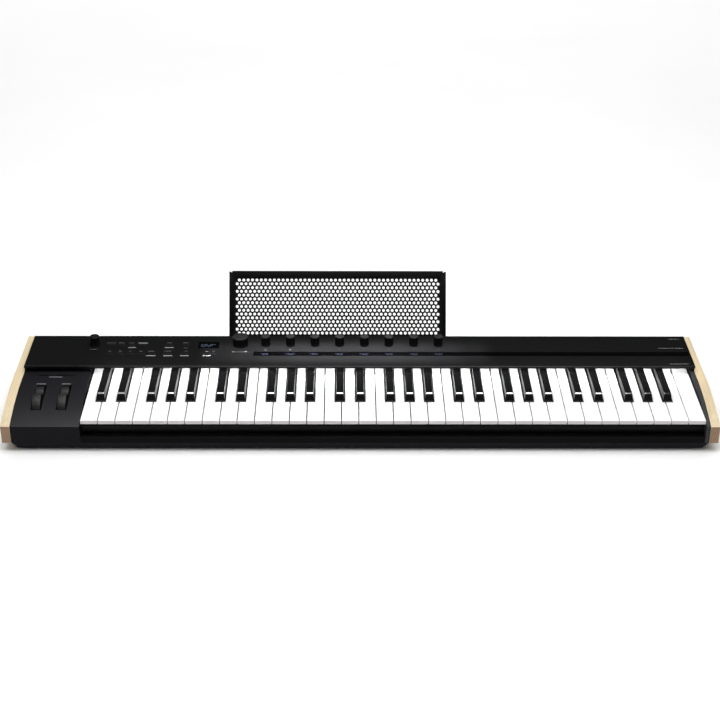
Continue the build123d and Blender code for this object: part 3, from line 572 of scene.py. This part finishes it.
def knob_mesh(name, centre, base_z, shaft_z, stages, ridges, ridge_depth):
    """A turned knob: stages are (radius, height above its base, share of the knurl)."""
    bm = bmesh.new()
    count = ridges * len(KNURL)
    rings = []
    for radius, height, knurl in stages:
        ring = []
        for i in range(count):
            angle = 2 * math.pi * i / count
            r = radius - ridge_depth * knurl * KNURL[i % len(KNURL)]
            place = (centre.x + r * math.cos(angle), centre.y + r * math.sin(angle), base_z + height)
            ring.append(bm.verts.new(place))
        rings.append(ring)
    for index, (lower, upper) in enumerate(zip(rings, rings[1:])):
        bridge(bm, lower, upper, 1 if index >= TOP_FROM else 0)
    top = bm.verts.new((centre.x, centre.y, base_z + stages[-1][1]))
    for i in range(count):
        bm.faces.new((rings[-1][i], rings[-1][(i + 1) % count], top)).material_index = 1
    bottom = bm.verts.new((centre.x, centre.y, base_z + stages[0][1]))
    for i in range(count):
        bm.faces.new((rings[0][(i + 1) % count], rings[0][i], bottom))
    shaft_top = base_z + SHAFT_OVERLAP
    bmesh.ops.create_cone(
        bm, cap_ends=True, segments=32, radius1=SHAFT_RADIUS, radius2=SHAFT_RADIUS,
        depth=shaft_top - shaft_z,
        matrix=Matrix.Translation((centre.x, centre.y, (shaft_top + shaft_z) / 2)),
    )
    mesh = to_mesh(name, bm)
    smooth(mesh, KNOB_SHARP)
    return mesh


def make_knob(name):
    """The volume knob has a waist over a wide foot, the others a groove round a straight side."""
    low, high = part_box(name)
    centre = (low + high) / 2
    base_z = PANEL_Z + KNOB_GAP
    tall = high.z - base_z
    if name == "volume_knob":
        radius, rim = 6.6 * MM, 0.4 * MM
        waist = 6.1 * MM
        ridges, cut = 40, 0.32 * MM
        stages = [
            (7.2 * MM, 0.0, 0), (7.4 * MM, 0.4 * MM, 0), (7.3 * MM, 1.2 * MM, 1),
            (6.8 * MM, 3.0 * MM, 1), (waist, 6.5 * MM, 1), (waist, tall - 2.9 * MM, 1),
            (radius, tall - 2.5 * MM, 0), (radius, tall - 0.6 * MM, 0),
        ]
    else:
        radius, rim = (high.x - low.x) / 2, 0.45 * MM
        neck = radius - 0.25 * MM
        ridges, cut = 60 if radius > LARGE_KNOB else 36, 0.35 * MM
        stages = [
            (radius - 0.3 * MM, 0.0, 0), (radius, 0.3 * MM, 0), (radius, 1.5 * MM, 0),
            (neck, 1.75 * MM, 0), (neck, 2.0 * MM, 0), (radius, 2.25 * MM, 1),
            (radius, tall - 1.3 * MM, 1), (radius, tall - 1.0 * MM, 0),
        ]
    stages += [
        (radius - rim, tall - 0.1 * MM, 0), (radius - 0.8 * MM, tall, 0),
        (radius - 1.2 * MM, tall - 0.15 * MM, 0), (radius * 0.5, tall - 0.3 * MM, 0),
        (radius * 0.1, tall - 0.35 * MM, 0),
    ]
    mesh = knob_mesh(name + "_cap", centre, base_z, low.z, stages, ridges, cut)
    piece(name + "_cap", mesh, [KNOB_SIDE, KNOB_TOP], name, [name])


for name in KNOB_NODES:
    make_knob(name)


CURVE_WELD = 0.001 * MM
CURVE_SHARP = 40


def curve_plate(name, outlines, thickness, rounding, matrix, resolution):
    """A flat plate from closed 2D outlines, the later ones being holes, with rounded edges."""
    data = bpy.data.curves.new(name, "CURVE")
    data.dimensions = "2D"
    data.fill_mode = "BOTH"
    data.extrude = thickness / 2 - rounding
    data.bevel_depth = rounding
    data.bevel_resolution = resolution
    data.offset = -rounding
    for outline in outlines:
        spline = data.splines.new("POLY")
        spline.points.add(len(outline) - 1)
        for point, (x, y) in zip(spline.points, outline):
            point.co = (x, y, 0.0, 1.0)
        spline.use_cyclic_u = True
    obj = bpy.data.objects.new(name, data)
    bpy.context.scene.collection.objects.link(obj)
    graph = bpy.context.evaluated_depsgraph_get()
    mesh = bpy.data.meshes.new_from_object(obj.evaluated_get(graph))
    bpy.data.objects.remove(obj)
    bpy.data.curves.remove(data)
    mesh.transform(matrix)
    bm = bmesh.new()
    bm.from_mesh(mesh)
    bmesh.ops.remove_doubles(bm, verts=bm.verts, dist=CURVE_WELD)
    bmesh.ops.recalc_face_normals(bm, faces=bm.faces)
    bm.to_mesh(mesh)
    bm.free()
    smooth(mesh, CURVE_SHARP)
    return mesh


def on_circle(x, y, radius, angle):
    return x + radius * math.cos(angle), y + radius * math.sin(angle)


def circle(x, y, radius, count):
    return [on_circle(x, y, radius, 2 * math.pi * i / count) for i in range(count)]


def arc(x, y, radius, start, end, steps):
    """Points from one angle to another, both in degrees."""
    return [
        on_circle(x, y, radius, math.radians(start + (end - start) * i / steps))
        for i in range(steps + 1)
    ]


# Thumb wheels: side outline in (Y, Z) round the axle, made as a rounded plate along X
WHEEL_RADIUS = 35.0 * MM
HUB_RADIUS = 9.0 * MM
GROOVE_ANGLE = 87.1
GROOVE_DISTANCE = 37.7 * MM
GROOVE_RADIUS = 10.0 * MM
PAD_MARGIN = 0.9 * MM  # the stippled pad reaches this far past the groove
WHEEL_CUT = 3.0 * MM  # the flat underside, above the axle
AXLE_HOLE = 3.06 * MM
RIM_STEPS, HUB_STEPS = 150, 32


def wheel_radius(angle):
    """The rim's distance from the axle, less where the round finger groove cuts into the disc."""
    turn = math.radians(angle - GROOVE_ANGLE)
    reach = GROOVE_DISTANCE * math.sin(turn)
    if abs(reach) < GROOVE_RADIUS:
        floor = GROOVE_DISTANCE * math.cos(turn) - math.sqrt(GROOVE_RADIUS ** 2 - reach ** 2)
        return min(WHEEL_RADIUS, floor)
    return WHEEL_RADIUS


def make_wheel(name):
    low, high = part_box(name)
    centre = (low + high) / 2
    axle_z = low.z + HUB_RADIUS
    start = math.degrees(math.asin(WHEEL_CUT / WHEEL_RADIUS))
    outline = []
    for i in range(RIM_STEPS + 1):
        angle = start + (180 - 2 * start) * i / RIM_STEPS
        outline.append(on_circle(0, 0, wheel_radius(angle), math.radians(angle)))
    hub_start = 180 - math.degrees(math.asin(WHEEL_CUT / HUB_RADIUS))
    outline += arc(0, 0, HUB_RADIUS, hub_start, 540 - hub_start, HUB_STEPS)
    upright = Matrix(((0, 0, 1, centre.x), (1, 0, 0, centre.y), (0, 1, 0, axle_z), (0, 0, 0, 1)))
    outlines = [outline, circle(0, 0, AXLE_HOLE, 32)]
    mesh = curve_plate(name + "_tread", outlines, high.x - low.x, 0.7 * MM, upright, 3)
    groove_y, groove_z = on_circle(centre.y, axle_z, GROOVE_DISTANCE, math.radians(GROOVE_ANGLE))
    piece(name + "_tread", mesh, [TREAD, PAD], name, [name])
    for polygon in mesh.polygons:
        from_groove = math.hypot(polygon.center.y - groove_y, polygon.center.z - groove_z)
        if from_groove < GROOVE_RADIUS + PAD_MARGIN and abs(polygon.normal.x) < 0.9:
            polygon.material_index = 1


for name in WHEEL_NODES:
    make_wheel(name)


# Stand: a perforated sheet with folded edges, leaning back on its foot
SHEET = 1.6 * MM
FOLD = 2.4 * MM
LEAN = math.radians(30)
HOLE = 2.12 * MM
HOLE_PITCH = 6.4 * MM
HOLE_ROWS = 15
LONG_ROW = 47
HOLE_TOP = 13.6 * MM  # from the top edge to the first row
STAND_DEPTH = 213.0  # of the bend behind the front, in millimetres
STAND_LENGTH = 99.5 * MM  # from the bend to the top edge
BEND_DROP = 7.0 * MM  # of the bend below the panel
FOLD_OVERLAP = 0.6 * MM
SIDE_FOLD, TOP_FOLD = 10.0 * MM, 8.0 * MM
CORNER_RELIEF, CORNER_STEP = 4.5 * MM, 1.2 * MM
TONGUE_PLACE, TONGUE_HALF, TONGUE_CORNER = 100.0 * MM, 20.0 * MM, 3.0 * MM


def band(profile, thickness):
    """A closed outline: the polyline profile, given thickness to its left side."""
    offset = []
    for i, (x, y) in enumerate(profile):
        ax, ay = profile[max(i - 1, 0)]
        bx, by = profile[min(i + 1, len(profile) - 1)]
        length = math.hypot(bx - ax, by - ay)
        offset.append((x - (by - ay) / length * thickness, y + (bx - ax) / length * thickness))
    return profile + offset[::-1]


def columns(x_axis, y_axis, z_axis, origin):
    """The matrix that puts a shape's axes and origin there."""
    matrix = Matrix.Identity(4)
    for column, axis in enumerate((x_axis, y_axis, z_axis, origin)):
        for row in range(3):
            matrix[row][column] = axis[row]
    return matrix


def hole_outlines():
    """Rows of holes down the sheet, every other row longer by one."""
    outlines = []
    for row in range(HOLE_ROWS):
        count = LONG_ROW - 1 + row % 2
        y = STAND_LENGTH - HOLE_TOP - row * HOLE_PITCH * math.sqrt(3) / 2
        for column in range(count):
            outlines.append(circle((column - (count - 1) / 2) * HOLE_PITCH, y, HOLE, 20))
    return outlines


def tongue_outline(x, bottom, top):
    """A tongue with rounded lower corners."""
    left, right = x - TONGUE_HALF, x + TONGUE_HALF
    corner = TONGUE_CORNER
    outline = [(left, top), (left, bottom + corner)]
    outline += arc(left + corner, bottom + corner, corner, 180, 270, 6)
    outline += arc(right - corner, bottom + corner, corner, 270, 360, 6)
    return outline + [(right, top)]


def make_stand():
    low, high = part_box("stand")
    half = (high.x - low.x) / 2
    inner, top = half - FOLD, STAND_LENGTH - FOLD
    bend = Vector(((low.x + high.x) / 2, depth(STAND_DEPTH), PANEL_Z - BEND_DROP))
    # the leaning sheet's own axes: across it, up along it, and out of its front
    across = Vector((1, 0, 0))
    along = Vector((0, math.sin(LEAN), math.cos(LEAN)))
    out = Vector((0, -math.cos(LEAN), math.sin(LEAN)))
    ahead, up = Vector((0, 1, 0)), Vector((0, 0, 1))
    meshes = []

    def add(outlines, length, rounding, *place):
        meshes.append(curve_plate("sheet", outlines, length, rounding, columns(*place), 1))

    face = [(-inner, 0.0), (inner, 0.0), (inner, top), (-inner, top)]
    add([face] + hole_outlines(), SHEET, 0.12 * MM, across, along, out, bend - out * SHEET / 2)
    # side folds, drawn across and out, running along the sheet
    start = 6.0 * MM
    run = STAND_LENGTH - CORNER_STEP - start
    for side in (-1, 1):
        outer = arc(side * inner, -FOLD, FOLD, 90, 90 - 90 * side, 8)
        profile = [(side * (inner - FOLD_OVERLAP), 0.0)] + outer + [(side * half, -SIDE_FOLD)]
        place = across, out, -along, bend + along * (start + run / 2)
        add([band(profile, -SHEET * side)], run, 0.2 * MM, *place)
    # top fold, drawn along and out, running across
    outer = arc(top, -FOLD, FOLD, 90, 0, 8)
    profile = [(top - FOLD_OVERLAP, 0.0)] + outer + [(STAND_LENGTH, -TOP_FOLD)]
    place = along, out, along.cross(out), bend
    add([band(profile, -SHEET)], 2 * (half - CORNER_RELIEF), 0.2 * MM, *place)
    # foot: the turn from upright to the lean, and the tongues
    turn = [(0.0, DECK_Z + 0.05 * MM - bend.z), (0.0, -1.0 * MM), (0.25 * MM, 0.2 * MM)]
    turn += [(0.9 * MM, 1.7 * MM), (6.2 * MM * math.sin(LEAN), 6.2 * MM * math.cos(LEAN))]
    add([band(turn, -SHEET)], 2 * half, 0.2 * MM, ahead, up, across, bend)
    for side in (-1, 1):
        tongue = tongue_outline(side * TONGUE_PLACE, low.z - bend.z, DECK_Z - bend.z + 1.0 * MM)
        add([tongue], SHEET, 0.15 * MM, across, up, -ahead, bend + ahead * SHEET / 2)
    bm = bmesh.new()
    for mesh in meshes:
        bm.from_mesh(mesh)
        bpy.data.meshes.remove(mesh)
    mesh = bpy.data.meshes.new("stand_sheet")
    bm.to_mesh(mesh)
    bm.free()
    smooth(mesh, CURVE_SHARP)
    piece("stand_sheet", mesh, [STAND], "stand", ["stand"])


make_stand()


# Printed marks: (left X, right X, depth behind the front, width along Y) in millimetres
BRIGHT_BARS = [
    (-320.9, -306.8, 186.9, 2.6), (-334.2, -322.7, 173.9, 2.0), (-305.9, -291.8, 150.3, 2.2),
    (-281.6, -268.1, 173.9, 2.2), (-281.4, -268.0, 150.3, 2.2), (-257.5, -244.5, 150.3, 2.2),
    (-225.9, -213.1, 150.6, 2.2),
]
FAINT_BARS = [
    (-388.2, -376.4, 168.6, 1.4), (-366.1, -353.1, 187.4, 1.2), (-349.0, -340.7, 187.4, 1.2),
    (-334.0, -326.4, 187.4, 1.2), (-279.0, -272.5, 187.6, 1.2), (-256.0, -247.0, 187.6, 1.2),
    (-360.5, -357.0, 163.2, 1.8), (-346.0, -342.0, 163.2, 1.8), (-331.0, -327.0, 163.2, 1.8),
    (-316.0, -312.0, 163.2, 1.8), (-303.5, -294.0, 163.2, 1.2), (-281.0, -270.0, 163.7, 1.2),
    (-252.5, -247.5, 163.7, 1.2), (-253.5, -248.5, 172.6, 1.2), (-222.5, -216.5, 163.0, 1.2),
    (-212.5, -208.5, 163.0, 1.2), (-184.0, -162.1, 161.2, 1.9),
]
KNOB_DOT_DEPTH = 167.6  # of the dots in front of the small knobs
BLOCK_ARC_START, BLOCK_ARC_RADIUS = 101.0, 354.0  # of the wheel housing's top, in millimetres
BLOCK_BARS = [(-437.4, -418.6, 107.0, 2.2), (-451.6, -438.4, 88.6, 2.2), (-416.6, -403.4, 88.6, 2.2)]
BADGE_BARS = [(449.7, 465.3, 199.8, 1.8), (430.3, 466.5, 173.2, 3.4), (440.0, 466.3, 128.1, 1.2)]
INK_THICKNESS = 0.04 * MM
GLOW_THICKNESS = 0.05 * MM
GLOW_DROP = 0.5 * MM  # of the display marks below the panel
LETTER_RUN, LETTER_GAP, LETTER_REST = (0.9, 2.2), 0.45, 0.8  # of a broken bar, in millimetres


def bar_outline(x0, x1, y, width):
    """A bar with rounded ends."""
    radius = width / 2
    return arc(x1 - radius, y, radius, -90, 90, 5) + arc(x0 + radius, y, radius, 90, 270, 5)


def add_marks(bm, bars, z, thickness, broken):
    """Thin raised bars, whole or broken into runs as long as short words."""
    for x0, x1, y, width in bars:
        spans = [(x0, x1)]
        if broken:
            spans, x = [], x0
            while x < x1 - LETTER_REST:
                run = min(dice.uniform(*LETTER_RUN), x1 - x)
                spans.append((x, x + run))
                x += run + LETTER_GAP
        for left, right in spans:
            outline = bar_outline(left * MM, right * MM, depth(y), min(width, right - left) * MM)
            low = [bm.verts.new((x, yy, z)) for x, yy in outline]
            high = [bm.verts.new((x, yy, z + thickness)) for x, yy in outline]
            bridge(bm, low, high)
            bm.faces.new(high)
            bm.faces.new(low[::-1])


def block_height(y_mm):
    """Top of the wheel housing at a depth behind the front: level, then falling in an arc."""
    run = max(BLOCK_ARC_START - y_mm, 0.0)
    return DECK_Z - (BLOCK_ARC_RADIUS - math.sqrt(BLOCK_ARC_RADIUS ** 2 - run ** 2)) * MM


def control_middles():
    """X of the eight small knobs, in millimetres."""
    boxes = [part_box(name) for name in KNOB_NODES if name.startswith("control")]
    return [(low.x + high.x) / 2 / MM for low, high in boxes]


def make_print():
    bm = bmesh.new()
    add_marks(bm, BRIGHT_BARS, PANEL_Z, INK_THICKNESS, False)
    add_marks(bm, BADGE_BARS, PANEL_Z, INK_THICKNESS, True)
    piece("panel_print_light", to_mesh("panel_print_light", bm), [LIGHT_INK], "case")
    bm = bmesh.new()
    add_marks(bm, FAINT_BARS, PANEL_Z, INK_THICKNESS, True)
    for bar in BLOCK_BARS:
        add_marks(bm, [bar], block_height(bar[2]), INK_THICKNESS, False)
    for x in control_middles():
        add_marks(bm, [(x - 0.7, x + 0.7, KNOB_DOT_DEPTH, 1.4)], PANEL_Z, INK_THICKNESS, False)
    piece("panel_print_faint", to_mesh("panel_print_faint", bm), [FAINT_INK], "case")


make_print()


def make_glow_marks():
    """Generic lit shapes on the main display and the eight small ones."""
    bm = bmesh.new()
    z = PANEL_Z - GLOW_DROP
    rows = [(-229.5, -219.0, 183.6, 1.5), (-217.0, -208.8, 183.6, 1.5), (-229.5, -213.0, 180.4, 1.2)]
    rows += [(-229.5, -222.0, 177.6, 1.2), (-220.0, -216.0, 177.6, 1.2)]
    for i, tall in enumerate([1.0, 2.2, 1.6, 2.8, 2.0, 1.2]):
        x = -212.5 + i * 1.1
        rows.append((x, x + 0.7, 176.6 + tall / 2, 0.7))
    add_marks(bm, rows, z, GLOW_THICKNESS, True)
    for x in control_middles():
        label = [(x - 6.5, x + 6.0, 157.2, 1.0), (x - 4.0, x + 4.5, 154.6, 1.1)]
        add_marks(bm, label, z, GLOW_THICKNESS, True)
    piece("display_glow", to_mesh("display_glow", bm), [GLOW], "case")


make_glow_marks()


# ---------------------------------------------------------------- rear sockets

SOCKET_Z = 25.0 * MM
JACK_X = (-262.0, -236.0, -210.0)  # in millimetres, as are the next
DIN_X = (-325.0, -295.0)
PIN_CIRCLE, PIN_STEP = 4.4 * MM, 45  # five pins over the lower half
OUTER_CHAMFER, INNER_CHAMFER = 0.4 * MM, 0.3 * MM
RING_SHARP = 25


def ring_mesh(bm, x, y0, y1, z, outer, inner, count, sides=None):
    """A ring round the Y axis from y0 to y1, with chamfered mouth. Sides give it flats, like a nut."""
    rings = []
    stages = (
        (y0, outer), (y1 - OUTER_CHAMFER, outer), (y1, outer - OUTER_CHAMFER),
        (y1, inner + INNER_CHAMFER), (y1 - INNER_CHAMFER, inner), (y0, inner),
    )
    for y, radius in stages:
        ring = []
        for i in range(count):
            angle = 2 * math.pi * i / count
            r = radius
            if sides and radius > inner + 0.5 * MM:
                part = (angle % (2 * math.pi / sides)) - math.pi / sides
                r = radius * math.cos(math.pi / sides) / math.cos(part)
            ring.append(bm.verts.new((x + r * math.cos(angle), y, z + r * math.sin(angle))))
        rings.append(ring)
    for lower, upper in zip(rings, rings[1:] + rings[:1]):
        bridge(bm, lower, upper)


def make_sockets():
    """A washer and a nut round each jack; a collar and five pin sockets in each DIN socket."""
    bm = bmesh.new()
    for x in JACK_X:
        ring_mesh(bm, x * MM, WALL_Y, WALL_Y + 2.2 * MM, SOCKET_Z, 7.2 * MM, 3.3 * MM, 48, 6)
        ring_mesh(bm, x * MM, WALL_Y, WALL_Y + 0.7 * MM, SOCKET_Z, 8.4 * MM, 7.0 * MM, 48)
    mesh = to_mesh("jack_nuts", bm)
    smooth(mesh, RING_SHARP)
    piece("jack_nuts", mesh, [NICKEL], "case")
    bm = bmesh.new()
    for x in DIN_X:
        ring_mesh(bm, x * MM, WALL_Y, WALL_Y + 0.9 * MM, SOCKET_Z, 9.6 * MM, 6.9 * MM, 64)
        for step in range(5):
            px, pz = on_circle(x * MM, SOCKET_Z, PIN_CIRCLE, math.radians(180 + PIN_STEP * step))
            ring_mesh(bm, px, WALL_Y - 9.0 * MM, WALL_Y - 7.6 * MM, pz, 1.1 * MM, 0.55 * MM, 20)
    mesh = to_mesh("midi_collars", bm)
    smooth(mesh, RING_SHARP)
    piece("midi_collars", mesh, [SOCKET], "case")


make_sockets()


# ---------------------------------------------------------------- stage

FLOOR_HALF = 9.0


def make_floor():
    bm = bmesh.new()
    bmesh.ops.create_grid(bm, x_segments=4, y_segments=4, size=FLOOR_HALF)
    floor = bpy.data.objects.new("floor", to_mesh("floor", bm))
    bpy.context.scene.collection.objects.link(floor)
    s = Surface("studio_floor", Specular_IOR_Level=0.15)
    s.colour(s.ramp(s.noise(3.0), [(0.3, (0.86, 0.86, 0.86)), (0.7, (0.88, 0.88, 0.88))]))
    s.roughness(0.9)
    floor.data.materials.append(s.material)


def area_light(name, place, target, size, power, spread=180.0, diffuse=True, glossy=True):
    """A soft rectangle at a place, turned to its target. It may light only matt or only gloss."""
    data = bpy.data.lights.new(name, "AREA")
    data.shape = "RECTANGLE"
    data.size, data.size_y = size
    data.energy = power
    data.spread = math.radians(spread)
    light = bpy.data.objects.new(name, data)
    light.location = place
    light.rotation_mode = "QUATERNION"
    light.rotation_quaternion = (Vector(target) - Vector(place)).to_track_quat("-Z", "Y")
    light.visible_camera = False
    light.visible_diffuse = diffuse
    light.visible_glossy = glossy
    bpy.context.scene.collection.objects.link(light)


# The world: a dome, brightest overhead, for matt surfaces; dark in reflections; white to the eye
DOME_EDGE, DOME_TOP = 0.45, 0.85  # heights of a ray's direction, 1 being straight up
DOME_DARK, DOME_BRIGHT = 0.07, 0.95
REFLECTED = (0.035, 0.037, 0.04, 1.0)
SEEN = (1.0, 1.0, 1.0, 1.0)


def make_world():
    world = bpy.data.worlds.new("studio")
    bpy.context.scene.world = world
    world.use_nodes = True
    tree = world.node_tree
    background = tree.nodes["Background"]
    paths = tree.nodes.new("ShaderNodeLightPath")
    sky = tree.nodes.new("ShaderNodeTexCoord")
    split = tree.nodes.new("ShaderNodeSeparateXYZ")
    dome = tree.nodes.new("ShaderNodeMapRange")
    tree.links.new(sky.outputs["Generated"], split.inputs[0])
    tree.links.new(split.outputs["Z"], dome.inputs["Value"])
    dome.inputs["From Min"].default_value = DOME_EDGE
    dome.inputs["From Max"].default_value = DOME_TOP
    dome.inputs["To Min"].default_value = DOME_DARK
    dome.inputs["To Max"].default_value = DOME_BRIGHT
    colour = dome.outputs["Result"]
    for path, other in (("Is Glossy Ray", REFLECTED), ("Is Camera Ray", SEEN)):
        mix = tree.nodes.new("ShaderNodeMix")
        mix.data_type = "RGBA"
        tree.links.new(paths.outputs[path], mix.inputs[0])
        tree.links.new(colour, mix.inputs[6])
        mix.inputs[7].default_value = other
        colour = mix.outputs[2]
    tree.links.new(colour, background.inputs["Color"])
    background.inputs["Strength"].default_value = 1.0
    world.cycles.sampling_method = "NONE"


# The camera at the photograph's angle: metres, millimetres of lens, degrees
CAMERA_PLACE = (-0.02292, depth(-1733.46), 1.14576)
SENSOR, LENS_LENGTH = 36.0, 76.04
YAW, PITCH, ROLL = 0.687, 30.02, 0.395


def make_camera():
    data = bpy.data.cameras.new("camera")
    data.sensor_width = SENSOR
    data.lens = LENS_LENGTH
    data.clip_start, data.clip_end = 0.05, 60.0
    camera = bpy.data.objects.new("camera", data)
    yaw, pitch, roll = math.radians(YAW), math.radians(PITCH), math.radians(ROLL)
    forward = Vector((
        math.sin(yaw) * math.cos(pitch), math.cos(yaw) * math.cos(pitch), -math.sin(pitch),
    ))
    right = Vector((math.cos(yaw), -math.sin(yaw), 0.0))
    up = right.cross(forward)
    rolled_right = right * math.cos(roll) + up * math.sin(roll)
    rolled_up = up * math.cos(roll) - right * math.sin(roll)
    camera.matrix_world = columns(rolled_right, rolled_up, -forward, Vector(CAMERA_PLACE))
    bpy.context.scene.collection.objects.link(camera)
    bpy.context.scene.camera = camera


def make_lights():
    """Each light's place, target and size are in metres, its power in watts."""
    # the studio light overhead, and a box that shows only in glossy surfaces
    area_light("overhead", (-0.02, -0.24, 1.5), (-0.02, -0.16, 0.0), (1.3, 0.9), 19.0)
    area_light("softbox_sheen", (0.08, -0.18, 1.5), (0.08, -0.18, 0.0), (1.0, 0.5), 54.0, diffuse=False)
    # the keys' rear ends below the panel's lip, and the floor far behind
    area_light("under_lip", (0.044, depth(-10.0), 0.125), (0.044, depth(132.0), 0.049),
               (0.84, 0.02), 0.36, spread=26.0, glossy=False)
    area_light("back_floor", (0.0, 2.8, 2.2), (0.0, 2.8, 0.0), (5.0, 2.4), 57.0, glossy=False)
    # four widths, one over another, brighten the middle of the panel with soft ends
    middle_x, middle_y, height = -0.02, 0.024, 0.26
    for index, reach in enumerate((0.16, 0.24, 0.32, 0.40), 1):
        area_light(f"panel_centre_{index}", (middle_x, middle_y, height), (middle_x, middle_y, 0.0),
                   (reach, 0.052), reach, spread=12.0, glossy=False)


make_floor()
make_world()
make_lights()
make_camera()
scene = bpy.context.scene
scene.view_settings.view_transform = "Standard"
